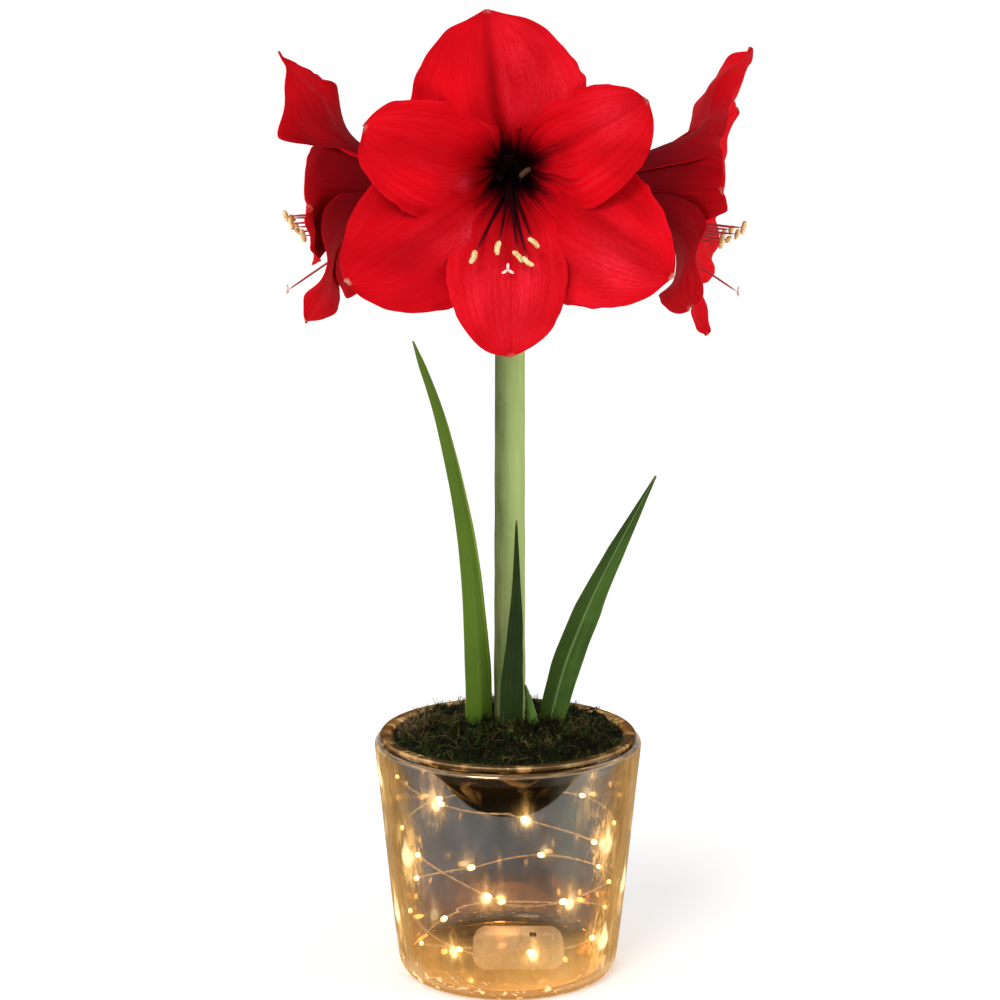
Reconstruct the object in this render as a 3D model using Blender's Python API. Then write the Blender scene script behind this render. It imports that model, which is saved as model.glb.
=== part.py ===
"""Amaryllis with three red blooms, planted in a glass pot with a light string inside.

Metres, +Z up. The origin is on the pot's axis, on its underside, and the front faces -Y.
The numbers below are millimetres, and MM turns them into metres.
"""
import math

import bmesh
import bpy
from mathutils import Matrix, Vector, noise

MM = 0.001
GAP = 0.3

# Glass pot
POT_HEIGHT = 136.0
POT_WALL = 3.5
POT_FLOOR = 4.0
POT_FOOT_RADIUS = 54.0
POT_OUTLINE = ((60.5, 3.0), (62.9, 10.0), (66.4, 40.0), (69.6, 72.0), (72.9, 106.0), (75.2, 128.0))
LIP_RADIUS = 3.2
LIP_STEPS = 4
POT_SIDES = 40

# Bowl in the pot's mouth, as radius and depth under its flange
BOWL_TOP = 139.0
BOWL_OUTSIDE = ((67.0, 3.0), (56.0, 11.0), (45.0, 20.0), (37.0, 28.5), (29.0, 37.0), (20.0, 44.0),
                (8.0, 48.0))
BOWL_DEPTH = 48.5
BOWL_WALL = 1.7
BOWL_SIDES = 32
FLANGE_RADIUS = 72.5
FLANGE_THICKNESS = 2.6
MOUTH_RADIUS = 66.5

# Bulb, soil and moss
BULB_RADIUS = 30.0
BULB_TOP = 136.5
BULB_HEIGHT = 39.0
BULB_BASE_RADIUS = 11.0
BULB_SHOULDER = 25.0
BULB_SIDES = 22
SOIL_TOP = 131.0
MOSS_EDGE = 137.0
MOSS_CROWN = 147.0
MOSS_TUFT = 1.6
MOSS_RINGS = 7
MOSS_SIDES = 34
HOLE_ROOM = 0.8

# Flower stem
STEM_BASE = (1.0, 0.0)
STEM_RADIUS_LOW = 9.0
STEM_RADIUS_HIGH = 8.2
STEM_TOP = 418.0
STEM_SIDES = 16
STALK_RADIUS = 3.6
OVARY_RADIUS = 5.4
BRACT_TOP = 408.0
BRACT_LENGTH = 36.0
BRACT_HALF_WIDTH = 7.5
BRACT_SPREAD = 9.0
BRACT_TURNS = {"spathe_left": 168.0, "spathe_right": 12.0}

# Blooms, measured along their own axis from the stem's axis
TUBE_START = 28.0
TUBE_END = 45.0
TUBE_RADIUS = 5.2
THROAT_RADIUS = 9.9
TEPAL_START = 38.0
TEPAL_BASE = 6.0
TEPAL_THICKNESS = 0.9
PETAL_INSET = 1.7
PETAL_AHEAD = 4.0
OPENING = 38.0
CURL_FROM = 76.0
CURLING = 38.0
TUBE_SLOPE = 21.0
TEPAL_ROWS = 8
TEPAL_COLUMNS = 4
TEPAL_CROWD = 1.4
STAMEN_FOOT = 2.8
FILAMENT_RISE = 0.45
STYLE_RISE = {"bloom_front": 0.45, "bloom_left": 0.0, "bloom_right": 0.0}
ANTHER_HALF = 3.9
STIGMA_LOBE = 3.8

# Lights
WIRE_RADIUS = 0.6
LAMP_RADIUS = 1.7
LAMP_COUNT = 26
LAMP_SHAPE = ((-1, WIRE_RADIUS), (-1 / 3, LAMP_RADIUS), (1 / 3, LAMP_RADIUS), (1, WIRE_RADIUS))
LAMP_HALF_TURN = 0.0045
STRING_TURNS = 3.08
STRING_HEIGHTS = ((0.0, 116), (0.25, 112), (0.4, 84), (0.75, 86), (1.0, 80), (1.1, 78), (1.25, 57),
                  (1.4, 55), (1.6, 50), (1.8, 41), (2.0, 43), (2.2, 24), (2.5, 31), (2.75, 17), (2.95, 13),
                  (3.1, 10))
BOX_SIZE = (52.0, 44.0, 15.0)
BOX_CENTRE = (6.0, -6.0)
BOX_CORNER = 8.0
SWITCH_SIZE = (4.0, 4.0, 1.5)
SWITCH_PLACE = (14.4, -7.5)
SWITCH_CORNER = 0.4


def material(name, colour, roughness, metallic=0.0, alpha=1.0):
    made = bpy.data.materials.new(name)
    made.use_nodes = True
    shader = made.node_tree.nodes["Principled BSDF"]
    shader.inputs["Base Color"].default_value = (*colour, 1.0)
    shader.inputs["Roughness"].default_value = roughness
    shader.inputs["Metallic"].default_value = metallic
    shader.inputs["Alpha"].default_value = alpha
    return made


def make_object(name, mesh_data, finish):
    mesh = bpy.data.meshes.new(name)
    bmesh.ops.recalc_face_normals(mesh_data, faces=mesh_data.faces)
    mesh_data.to_mesh(mesh)
    mesh_data.free()
    mesh.shade_smooth()
    mesh.materials.append(finish)
    made = bpy.data.objects.new(name, mesh)
    bpy.context.scene.collection.objects.link(made)
    return made


def combine(target, others, operation, solver="EXACT"):
    """Join others to target, or cut them from it, and remove them."""
    group = bpy.data.collections.new("cutters")
    bpy.context.scene.collection.children.link(group)
    for other in others:
        group.objects.link(other)
    boolean = target.modifiers.new("combine", "BOOLEAN")
    boolean.operation = operation
    boolean.operand_type = "COLLECTION"
    boolean.collection = group
    boolean.solver = solver
    shaped = target.evaluated_get(bpy.context.evaluated_depsgraph_get())
    mesh = bpy.data.meshes.new_from_object(shaped)
    target.modifiers.clear()
    target.data = mesh
    for other in others:
        bpy.data.objects.remove(other)
    bpy.data.collections.remove(group)
    mesh.shade_smooth()
    return target


def turned(name, outline, finish, segments):
    """Turn an outline of (radius, height) about the Z axis. A closed loop needs no end on the axis."""
    shape = bmesh.new()
    points = [shape.verts.new((radius * MM, 0, height * MM)) for radius, height in outline]
    edges = [shape.edges.new(pair) for pair in zip(points, points[1:])]
    if outline[0][0] > 0:
        edges.append(shape.edges.new((points[-1], points[0])))
    bmesh.ops.spin(shape, geom=points + edges, cent=(0, 0, 0), axis=(0, 0, 1), steps=segments,
                   angle=2 * math.pi)
    bmesh.ops.remove_doubles(shape, verts=shape.verts, dist=1e-6)
    return make_object(name, shape, finish)


def rounded(points):
    """Cut the corners of an open outline, which rounds it and keeps its ends."""
    smooth = [points[0]]
    for first, second in zip(points, points[1:]):
        smooth.append([0.75 * a + 0.25 * b for a, b in zip(first, second)])
        smooth.append([0.25 * a + 0.75 * b for a, b in zip(first, second)])
    return smooth + [points[-1]]


def along(route, place):
    """Point on a smooth curve through the route's points, with place from 0 to 1."""
    spans = len(route) - 1
    step = min(int(place * spans), spans - 1)
    t = place * spans - step
    b, c = Vector(route[step]), Vector(route[step + 1])
    a = Vector(route[step - 1]) if step > 0 else 2 * b - c
    d = Vector(route[step + 2]) if step + 2 <= spans else 2 * c - b
    bend = (2 * a - 5 * b + 4 * c - d) * t ** 2 + (3 * b - a - 3 * c + d) * t ** 3
    return 0.5 * (2 * b + (c - a) * t + bend)


def between(table, place):
    """Straight interpolation in a table of (place, value)."""
    for (start, low), (end, high) in zip(table, table[1:]):
        if place <= end:
            return low + (high - low) * max(0.0, place - start) / (end - start)
    return table[-1][1]


def ease(value):
    value = min(1.0, max(0.0, value))
    return value * value * (3 - 2 * value)


def blade(name, surface, thickness, rows, columns, finish, crowd=1.0):
    """Thin closed body round a middle surface, which takes places (0..1, -1..1) and gives millimetres.

    Both faces are split into triangles along the same diagonals, so a waved blade never crosses itself.
    """
    shape = bmesh.new()
    step = 1e-3
    front, back = [], []
    for row in range(rows + 1):
        t = 1 - (1 - row / rows) ** crowd
        front.append([])
        back.append([])
        for column in range(columns + 1):
            v = 2 * column / columns - 1
            here = surface(t, v)
            upward = surface(min(1, t + step), v) - surface(max(0, t - step), v)
            across = surface(t, v + step) - surface(t, v - step)
            normal = upward.cross(across).normalized() * thickness(t, v) / 2
            front[-1].append(shape.verts.new((here + normal) * MM))
            back[-1].append(shape.verts.new((here - normal) * MM))
    for side in (front, back):
        for row in range(rows):
            for column in range(columns):
                a, b = side[row][column], side[row][column + 1]
                c, d = side[row + 1][column + 1], side[row + 1][column]
                lean = (column < columns / 2)
                for face in (((a, b, c), (a, c, d)) if lean else ((a, b, d), (b, c, d))):
                    shape.faces.new(face)
    ring = [(row, 0) for row in range(rows)] + [(rows, column) for column in range(columns)]
    ring += [(row, columns) for row in range(rows, 0, -1)] + [(0, column) for column in range(columns, 0, -1)]
    for (r1, c1), (r2, c2) in zip(ring, ring[1:] + ring[:1]):
        a, b, c, d = front[r1][c1], front[r2][c2], back[r2][c2], back[r1][c1]
        shape.faces.new((a, b, c))
        shape.faces.new((a, c, d))
    return make_object(name, shape, finish)


def rod(name, points, radii, sides, finish):
    """Closed rod through points in millimetres, with its own radius at each."""
    shape = bmesh.new()
    points = [Vector(point) for point in points]
    rings = []
    side = Vector((0.31, 0.17, 0.93))
    for index, point in enumerate(points):
        ahead = points[min(index + 1, len(points) - 1)] - points[max(index - 1, 0)]
        ahead.normalize()
        side = (side - ahead * side.dot(ahead)).normalized()
        other = ahead.cross(side)
        ring = []
        for corner in range(sides):
            turn = 2 * math.pi * corner / sides
            offset = (side * math.cos(turn) + other * math.sin(turn)) * radii[index]
            ring.append(shape.verts.new((point + offset) * MM))
        rings.append(ring)
    for low, high in zip(rings, rings[1:]):
        for corner in range(sides):
            after = (corner + 1) % sides
            shape.faces.new((low[corner], low[after], high[after], high[corner]))
    shape.faces.new(rings[0])
    shape.faces.new(rings[-1])
    bmesh.ops.triangulate(shape, faces=shape.faces)
    return make_object(name, shape, finish)


# Pot, bowl, soil and moss

def pot_radius(height):
    return between([(z, radius) for radius, z in POT_OUTLINE], height)


def make_pot(finish):
    foot = rounded([(POT_FOOT_RADIUS, 0.0), *POT_OUTLINE[:2]])
    outside = [(0, 0), *foot, *POT_OUTLINE[2:]]
    lip_height = POT_HEIGHT - LIP_RADIUS
    lip_centre = pot_radius(lip_height) - LIP_RADIUS + 0.4
    lip = []
    for step in range(LIP_STEPS + 1):
        turn = math.pi * step / LIP_STEPS
        lip.append((lip_centre + LIP_RADIUS * math.cos(turn), lip_height + LIP_RADIUS * math.sin(turn)))
    inside = [(radius - POT_WALL, z) for radius, z in reversed(POT_OUTLINE[2:])]
    low, high = [radius - POT_WALL for radius, _ in POT_OUTLINE[:2]]
    corner = rounded([(high, POT_FLOOR + 10), (low, POT_FLOOR), (POT_FOOT_RADIUS - POT_WALL, POT_FLOOR)])
    return turned("glass_shell", outside + lip + inside + corner + [(0, POT_FLOOR)], finish, POT_SIDES)


def bowl_inside(extra=0.0):
    """Points of the bowl's inner face, top to bottom, moved inwards by extra."""
    moved = []
    outline = [(radius, BOWL_TOP - depth) for radius, depth in BOWL_OUTSIDE] + [(0.0, BOWL_TOP - BOWL_DEPTH)]
    for index, (radius, height) in enumerate(outline[:-1]):
        before = outline[max(index - 1, 0)]
        after = outline[index + 1]
        run, drop = after[0] - before[0], after[1] - before[1]
        length = math.hypot(run, drop)
        offset = BOWL_WALL + extra
        moved.append((radius + drop / length * offset, height - run / length * offset))
    return moved + [(0.0, outline[-1][1] + BOWL_WALL + extra)]


def make_bowl(finish):
    under = BOWL_TOP - FLANGE_THICKNESS
    outside = [(0.0, BOWL_TOP - BOWL_DEPTH)]
    outside += [(radius, BOWL_TOP - depth) for radius, depth in reversed(BOWL_OUTSIDE)]
    edge = [(FLANGE_RADIUS - 1, under), (FLANGE_RADIUS, BOWL_TOP - FLANGE_THICKNESS / 2)]
    edge += [(FLANGE_RADIUS - 1.2, BOWL_TOP), (MOUTH_RADIUS, BOWL_TOP)]
    return turned("inner_bowl", outside + edge + bowl_inside(), finish, BOWL_SIDES)


def make_soil(finish):
    wall = [point for point in bowl_inside(GAP) if point[1] < SOIL_TOP - 1]
    top_radius = between([(height, radius) for radius, height in reversed(bowl_inside(GAP))], SOIL_TOP)
    nest = [point for point in bulb_outline(GAP) if point[1] < SOIL_TOP]
    nest_radius = between([(height, radius) for radius, height in bulb_outline(GAP)], SOIL_TOP)
    outline = [(0.0, wall[-1][1]), *reversed(wall[:-1]), (top_radius, SOIL_TOP), (nest_radius, SOIL_TOP)]
    return turned("soil", outline + list(reversed(nest)), finish, BULB_SIDES)


def bulb_outline(extra=0.0):
    """Points of the bulb, from the middle of its base to the middle of its top."""
    base = BULB_TOP - BULB_HEIGHT
    belly, swell = BULB_TOP - 0.45 * BULB_HEIGHT, BULB_HEIGHT / 2
    outline = [(0.0, base - extra), (BULB_BASE_RADIUS, base + 1 - extra)]
    for step in range(6):
        turn = math.pi * (0.12 + 0.66 * step / 5)
        outline.append(((BULB_RADIUS + extra) * math.sin(turn) ** 0.8, belly - swell * math.cos(turn)))
    return outline + [(BULB_SHOULDER + extra, BULB_TOP + extra), (0.0, BULB_TOP + extra)]


def make_bulb(finish):
    return turned("bulb", bulb_outline(), finish, BULB_SIDES)


def make_moss(finish, leaves):
    """Lumpy layer between the bowl's wall and the plant, with a slot round each leaf and the stem."""
    shape = bmesh.new()
    low = SOIL_TOP + GAP
    wall = [(height, radius) for radius, height in reversed(bowl_inside(GAP + 0.2))]
    low_radius, edge_radius = between(wall, low), between(wall, MOSS_EDGE)
    crown = shape.verts.new((0, 0, MOSS_CROWN * MM))
    surface, under = [[] for _ in range(MOSS_RINGS)], []
    for part in range(MOSS_SIDES):
        turn = 2 * math.pi * part / MOSS_SIDES
        outward = Vector((math.cos(turn), math.sin(turn), 0))
        for ring in range(MOSS_RINGS):
            share = (ring + 1) / MOSS_RINGS
            point = outward * edge_radius * share
            rough = noise.noise((point.x / 7, point.y / 7, 0.5))
            rough += 0.5 * noise.noise((point.x / 3, point.y / 3, 4.5))
            tuft = MOSS_TUFT * rough if share < 1 else 0.0
            point.z = MOSS_CROWN + (MOSS_EDGE - MOSS_CROWN) * share ** 2 + tuft
            surface[ring].append(shape.verts.new(point * MM))
        under.append(shape.verts.new((outward * low_radius + Vector((0, 0, low))) * MM))
    for part in range(MOSS_SIDES):
        after = (part + 1) % MOSS_SIDES
        shape.faces.new((crown, surface[0][part], surface[0][after]))
        for inner, outer in zip(surface, surface[1:]):
            shape.faces.new((inner[part], outer[part], outer[after], inner[after]))
        shape.faces.new((surface[-1][part], under[part], under[after], surface[-1][after]))
    shape.faces.new(under)
    bmesh.ops.triangulate(shape, faces=shape.faces)
    moss = make_object("moss", shape, finish)
    nest_top = BULB_TOP + GAP
    nest = [(0, low - 5), (BULB_RADIUS + 1, low - 5), (BULB_RADIUS - 0.5, nest_top), (0, nest_top)]
    cutters = [turned("nest", nest, finish, BULB_SIDES + 6)]
    cutters.append(rod("stem_hole", [(*STEM_BASE, BULB_TOP - 2), (*STEM_BASE, MOSS_CROWN + 9)],
                       [STEM_RADIUS_LOW + HOLE_ROOM] * 2, STEM_SIDES + 2, finish))
    for leaf in leaves.values():
        cutters.append(make_leaf("leaf_hole", leaf, finish, hole=True))
    return combine(moss, cutters, "DIFFERENCE")


# Leaves: a route up the middle, the widths along it, the turn of the blade and the depth of its channel

LEAVES = {
    "leaf_left": {"route": ((-16.0, -5.0, 137.1), (-17.0, -7.7, 183), (-22.9, -11.1, 252),
                            (-36.4, -14.6, 318), (-52.0, -18.0, 365)),
                  "widths": ((0, 17.5), (0.25, 16), (0.5, 11), (0.75, 6.6), (0.92, 4), (1, 0.9)),
                  "turn": 24.0, "channel": 0.9},
    "leaf_middle": {"route": ((1.4, -12.6, 137.1), (2.2, -13.0, 172), (4.4, -13.2, 212), (4.6, -13.5, 264)),
                    "widths": ((0, 13.5), (0.3, 13.2), (0.6, 8.5), (0.8, 4.2), (1, 0.9)),
                    "turn": 8.0, "channel": 0.5},
    "leaf_right": {"route": ((22.5, -1.0, 137.1), (32.0, 1.6, 174), (43.2, 4.2, 204), (56.4, 6.8, 233),
                             (83.2, 12.0, 284.5)),
                   "widths": ((0, 13.5), (0.25, 17), (0.55, 15.5), (0.8, 10), (1, 0.9)),
                   "turn": -12.0, "channel": 1.6},
    "leaf_short": {"route": ((14.6, -7.8, 137.1), (13.6, -7.8, 150), (9.8, -8.6, 168.5)),
                   "widths": ((0, 8.5), (0.4, 8), (0.75, 4.5), (1, 1)),
                   "turn": -34.0, "channel": 1.0},
}
LEAF_THICKNESS = 2.2
LEAF_EDGE = 0.8
LEAF_ROWS = 11
SHORT_ROWS = 6


def make_leaf(name, leaf, finish, hole=False):
    """A strap leaf with a channelled blade, or the wider slot that it stands in."""
    turn = math.radians(leaf["turn"])
    sideways = Vector((math.cos(turn), math.sin(turn), 0))
    route = leaf["route"]

    def middle(t, v):
        centre = along(route, t)
        up = (along(route, min(1, t + 0.01)) - along(route, max(0, t - 0.01))).normalized()
        across = (sideways - up * sideways.dot(up)).normalized()
        facing = up.cross(across)
        half = between(leaf["widths"], t) / 2
        fold = leaf["channel"] * half / 4 * max(0.0, 1 - abs(v)) ** 1.3
        return centre + across * v * half - facing * fold

    def thick(t, v):
        return LEAF_EDGE + (LEAF_THICKNESS - LEAF_EDGE) * (1 - abs(v)) * (1 - 0.6 * t)

    if not hole:
        return blade(name, middle, thick, SHORT_ROWS if name == "leaf_short" else LEAF_ROWS, 4, finish)
    clear = next(step / 50 for step in range(50) if along(route, step / 50).z > MOSS_CROWN + 5)

    def slot(t, v):
        centre = along(route, t * clear) - Vector((0, 0, 2 * (1 - t)))
        facing = (along(route, 0.02) - Vector(route[0])).cross(sideways).normalized()
        half = max(width for _, width in leaf["widths"][:2]) / 2 + HOLE_ROOM
        fold = leaf["channel"] * between(leaf["widths"], t * clear) / 8 * max(0.0, 1 - abs(v)) ** 1.3
        return centre + sideways * v * half - facing * fold

    return blade(name, slot, lambda t, v: LEAF_THICKNESS + 2 * HOLE_ROOM, 3, 4, finish)


# Blooms: each faces its own way, and has six tepals in two whorls

def tepal(angle, reach, wide, narrow, **more):
    """Shape of one tepal: its angle, the radius of its tip, and its half widths on the two sides."""
    shape = {"angle": angle, "reach": reach, "wide": wide, "narrow": narrow, "inner": False, "opens": 57.0,
             "flare": 66.0, "lean": 0.0, "cup": -0.006, "wave": 2.0, "waves": 1.5, "phase": 0.0, "curl": 0.0,
             "length": 170, "broadest": 0.64, "growth": 0.9, "round": 0.55, "twist": 0.0, "flap": None,
             "crease": 1.6}
    shape.update(more)
    return shape


def petal(angle, reach, wide, narrow, **more):
    """A tepal of the inner whorl, which lies in front of the outer one."""
    return tepal(angle, reach, wide, narrow, **{"inner": True, "cup": -0.001, "broadest": 0.62, "round": 0.45,
                                                "wave": 2.4, **more})


# A flap gives a tepal's narrow side its own broadest place, growth, round and twist
BLOOMS = {
    "bloom_front": {"facing": 0.0, "height": 460.0, "tepals": (
        tepal(98, 83.5, 46, 45, crease=4.5, flare=64, phase=0.6, round=0.56, twist=-5),
        tepal(211, 95, 42, 38, phase=2.0, twist=6),
        tepal(330, 92, 36, 42, phase=4.1, crease=4.5, twist=-6),
        petal(158, 77, 35, 28, phase=1.0, wave=3.4, waves=2.6, lean=2.0, round=0.40, twist=8),
        petal(270, 84, 29, 33, phase=5.0, waves=2.2, flare=62, broadest=0.70, round=0.42),
        petal(31, 77, 26, 34, phase=3.0, crease=2.6, twist=-8, round=0.40))},
    "bloom_left": {"facing": -92.0, "height": 446.0, "tepals": (
        tepal(68, 78, 42, 36, flare=54, opens=32, twist=-22, crease=4.0, phase=2.4, length=128, broadest=0.42,
              growth=0.5, cup=0.004, wave=1.0, waves=1.3, round=0.95, flap=(0.70, 8.0, 3.0, -20)),
        tepal(186, 78, 40, 38, flare=88, opens=47, phase=2.6),
        tepal(303, 80, 32, 34, flare=84, opens=40, curl=-30, phase=4.4, wave=1.4, round=0.8),
        petal(126, 70, 30, 31, flare=84, opens=48, phase=1.4),
        petal(246, 66, 26, 24, flare=100, opens=36, phase=0.8, waves=2.2, wave=1.2),
        petal(-4, 68, 30, 38, flare=90, opens=46, phase=3.6))},
    "bloom_right": {"facing": 91.0, "height": 446.0, "tepals": (
        tepal(88, 76, 36, 38, flare=68, opens=53, curl=-12, crease=2.4, phase=1.3, cup=-0.003, twist=13,
              wave=1.0, round=0.38),
        tepal(226, 80, 34, 22, flare=94, opens=43, phase=3.6, twist=-25, wave=1.6),
        tepal(326, 76, 36, 38, flare=80, opens=58, phase=0.4, twist=11),
        petal(176, 72, 17, 30, flare=88, opens=53, phase=2.4, wave=1.6, twist=-12, flap=(0.62, 0.9, 0.45, 0)),
        petal(271, 79, 20, 18, flare=95, curl=-34, opens=44, phase=4.8, waves=2.2, wave=1.2, twist=11),
        petal(38, 68, 24, 26, flare=66, opens=55, phase=5.6))},
}

# Stamens: sideways place and height of each anther, how far out it stands, and the turn of the anther
STAMENS = {
    "bloom_front": ((-19.0, -37.5, 126, 70), (-6.5, -33.0, 125, 80), (3.5, -37.0, 128, 130),
                    (8.5, -39.5, 129, 140), (11.5, -30.5, 124, 135), (7.5, 1.0, 76, 40)),
    "bloom_left": ((-11.0, -17.0, 121, 30), (-6.0, -21.5, 118, 150), (0.0, -15.0, 123, 60),
                   (5.0, -23.0, 116, 20), (10.0, -18.0, 119, 110), (7.0, -25.0, 113, 80)),
    "bloom_right": ((-11.0, -20.0, 127, 80), (-6.5, -24.0, 124, 40), (0.0, -27.5, 120, 150),
                    (5.0, -22.5, 122, 20), (10.0, -26.0, 118, 120), (-1.0, -29.0, 116, 70)),
}
STYLES = {
    "bloom_front": (-1.5, -44.0, 126),
    "bloom_left": (0.0, -56.0, 123),
    "bloom_right": (1.0, -57.0, 126),
}


def tepal_path(shape):
    """Distance out, radius and slope at each millimetre of a tepal's midrib, from the tube to its tip."""
    out = TEPAL_START
    ahead = PETAL_AHEAD if shape["inner"] else 0.0
    radius = TEPAL_BASE - (PETAL_INSET if shape["inner"] else 0.0)
    path = [(out, radius, math.radians(TUBE_SLOPE))]
    length = 0.0
    while radius < shape["reach"] and length < shape["length"]:
        opening = ease((length - shape["opens"] - ahead) / OPENING)
        slope = TUBE_SLOPE + (shape["flare"] - TUBE_SLOPE) * opening
        slope = math.radians(slope + shape["curl"] * ease((length - CURL_FROM) / CURLING))
        out += math.cos(slope)
        radius += math.sin(slope)
        length += 1.0
        path.append((out, radius, slope))
    return path


def tepal_surface(shape):
    path = tepal_path(shape)
    last = len(path) - 1
    angle = math.radians(shape["angle"])
    plain = [shape[key] for key in ("broadest", "growth", "round", "twist")]
    flap = shape["flap"] or plain

    def point(t, v):
        place = min(last - 1e-6, t * last)
        index = int(place)
        share = place - index
        out, radius, slope = [a + (b - a) * share for a, b in zip(path[index], path[index + 1])]
        to_flap = 0.5 - 0.5 * math.tanh(6 * v)
        broadest, growth, rounding, twist = [a + (b - a) * to_flap for a, b in zip(plain, flap)]
        side = shape["wide"] if v > 0 else shape["narrow"]
        base = 0.92 * path[0][1]
        if t < broadest:
            half = base + (side - base) * ease(t / broadest) ** growth
        else:
            half = side * max(0.0, 1 - ((t - broadest) / (1 - broadest)) ** 1.5) ** rounding
        opening = ease((place - 45) / 45)
        half = max(min(half, radius * (1.0 + 0.35 * opening)), 0.8)
        across = v * half
        bend = (1 - opening) * 0.92 / radius + opening * shape["cup"]
        turn = bend * across
        sideways = math.sin(turn) / bend if abs(bend) > 1e-5 else across
        drop = (1 - math.cos(turn)) / bend if abs(bend) > 1e-5 else 0.0
        twist = math.radians(twist) * opening
        out += sideways * math.sin(twist)
        sideways *= math.cos(twist)
        crease = shape["crease"] * opening * math.exp(-(across / 7) ** 2) * (1 - 0.5 * t)
        ripple = shape["wave"] * opening * abs(v) ** 2
        ripple *= math.sin(2 * math.pi * shape["waves"] * t + shape["phase"] + (1.7 if v > 0 else 0.0))
        lift = ripple - crease
        lean = slope * opening
        out += drop * math.sin(lean) + lift * math.sin(slope)
        radius += -drop * math.cos(lean) - lift * math.cos(slope)
        sideways += shape["lean"] * t * t
        return Vector((radius * math.cos(angle) - sideways * math.sin(angle), -out,
                       radius * math.sin(angle) + sideways * math.cos(angle)))
    return point


def stamen_route(start, end, rise):
    """Route from the throat to an anther or stigma, which flattens towards its end if rise is above 0."""
    route = []
    for step in range(5):
        t = step / 4
        fall = (1 + rise) * t - rise * t ** 3
        route.append((start[0] + (end[0] - start[0]) * t, -(start[1] + (end[1] - start[1]) * t),
                      start[2] + (end[2] - start[2]) * fall))
    return route


def make_bloom(name, finish):
    bloom = BLOOMS[name]
    tube = [(0, -TUBE_START, 0), (0, -TEPAL_START, 0), (0, -TUBE_END, 0)]
    core = rod(name, tube, [TUBE_RADIUS, THROAT_RADIUS - 2.2, THROAT_RADIUS], 10, finish)
    pieces = []
    for shape in bloom["tepals"]:
        pieces.append(blade("tepal", tepal_surface(shape), lambda t, v: TEPAL_THICKNESS, TEPAL_ROWS,
                            TEPAL_COLUMNS, finish, TEPAL_CROWD))
    for index, (x, z, out, turn) in enumerate(STAMENS[name]):
        spread = 2 * math.pi * index / 6
        root = (STAMEN_FOOT * math.cos(spread), TUBE_END - 3, STAMEN_FOOT * math.sin(spread))
        route = stamen_route(root, (x, out, z), FILAMENT_RISE)
        pieces.append(rod("filament", route, [1.0, 0.9, 0.85, 0.8, 0.7], 3, finish))
        turn = math.radians(turn)
        lie = Vector((math.cos(turn), -0.25, math.sin(turn))).normalized() * ANTHER_HALF
        tip = Vector(route[-1])
        anther = [tip - lie, tip - lie * 0.5, tip + lie * 0.5, tip + lie]
        pieces.append(rod("anther", anther, [0.8, 1.6, 1.6, 0.8], 4, finish))
    x, z, out = STYLES[name]
    route = stamen_route((0, TUBE_END - 3, -0.5), (x, out, z), STYLE_RISE[name])
    pieces.append(rod("style", route, [1.0, 0.9, 0.85, 0.8, 0.9], 3, finish))
    for lobe in range(3):
        turn = math.radians(90 + 120 * lobe)
        tip = Vector(route[-1])
        end = tip + Vector((STIGMA_LOBE * math.cos(turn), -1.0, STIGMA_LOBE * math.sin(turn)))
        pieces.append(rod("stigma", [tip + Vector((0, 0.5, 0)), end], [0.9, 0.6], 4, finish))
    made = combine(core, pieces, "UNION", "MANIFOLD")
    facing = Matrix.Rotation(math.radians(bloom["facing"]), 4, "Z")
    place = Vector((*STEM_BASE, bloom["height"])) * MM
    made.data.transform(Matrix.Translation(place) @ facing)
    return made


# Flower stem with its three stalks and ovaries, and the two bracts under them

def make_stem(finish):
    x, y = STEM_BASE
    low = BULB_TOP + GAP
    heights = (low, 200, 300, 395, 408, STEM_TOP - 2, STEM_TOP)
    radii = (STEM_RADIUS_LOW, 8.7, 8.4, STEM_RADIUS_HIGH, STEM_RADIUS_HIGH + 0.8, STEM_RADIUS_HIGH, 6.5)
    stem = rod("flower_stem", [(x, y, height) for height in heights], radii, STEM_SIDES, finish)
    stalks = []
    for bloom in BLOOMS.values():
        turn = math.radians(bloom["facing"])
        outward = Vector((math.sin(turn), -math.cos(turn), 0))
        foot, level = Vector((x, y, STEM_TOP - 6)), bloom["height"]
        route = [foot + outward * 2, foot + outward * 5 + Vector((0, 0, 9)), foot + outward * 8.5]
        route[2].z = level - 9
        for out, drop in ((13.0, 3.0), (19.0, 0.4), (24.0, 0.0), (TUBE_START - GAP, 0.0)):
            point = foot + outward * out
            point.z = level - drop
            route.append(point)
        stalk_radii = [3.4, STALK_RADIUS, STALK_RADIUS, 4.2, OVARY_RADIUS, OVARY_RADIUS, 5.0]
        stalks.append(rod("stalk", route, stalk_radii, 8, finish))
    return combine(stem, stalks, "UNION")


def make_bract(name, degrees, finish):
    """Dry bract that hangs from the top of the stem, turned about it."""
    hug = STEM_RADIUS_HIGH + 0.8 + GAP + 0.75

    def surface(t, v):
        half = BRACT_HALF_WIDTH * (1 - 0.92 * t) ** 0.8 + 0.5
        away = hug + BRACT_SPREAD * t ** 1.3
        bend = (1 - 0.6 * t) / hug
        side = math.sin(v * half * bend) / bend
        back = (1 - math.cos(v * half * bend)) / bend
        crumple = 0.6 * math.sin(9 * t + 2 * v) * t
        return Vector((away - back + crumple, side, BRACT_TOP - BRACT_LENGTH * t))

    made = blade(name, surface, lambda t, v: 0.7, 8, 4, finish)
    turn = Matrix.Rotation(math.radians(degrees), 4, "Z")
    made.data.transform(Matrix.Translation(Vector((*STEM_BASE, 0)) * MM) @ turn)
    return made


# Light string and its battery box

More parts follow.
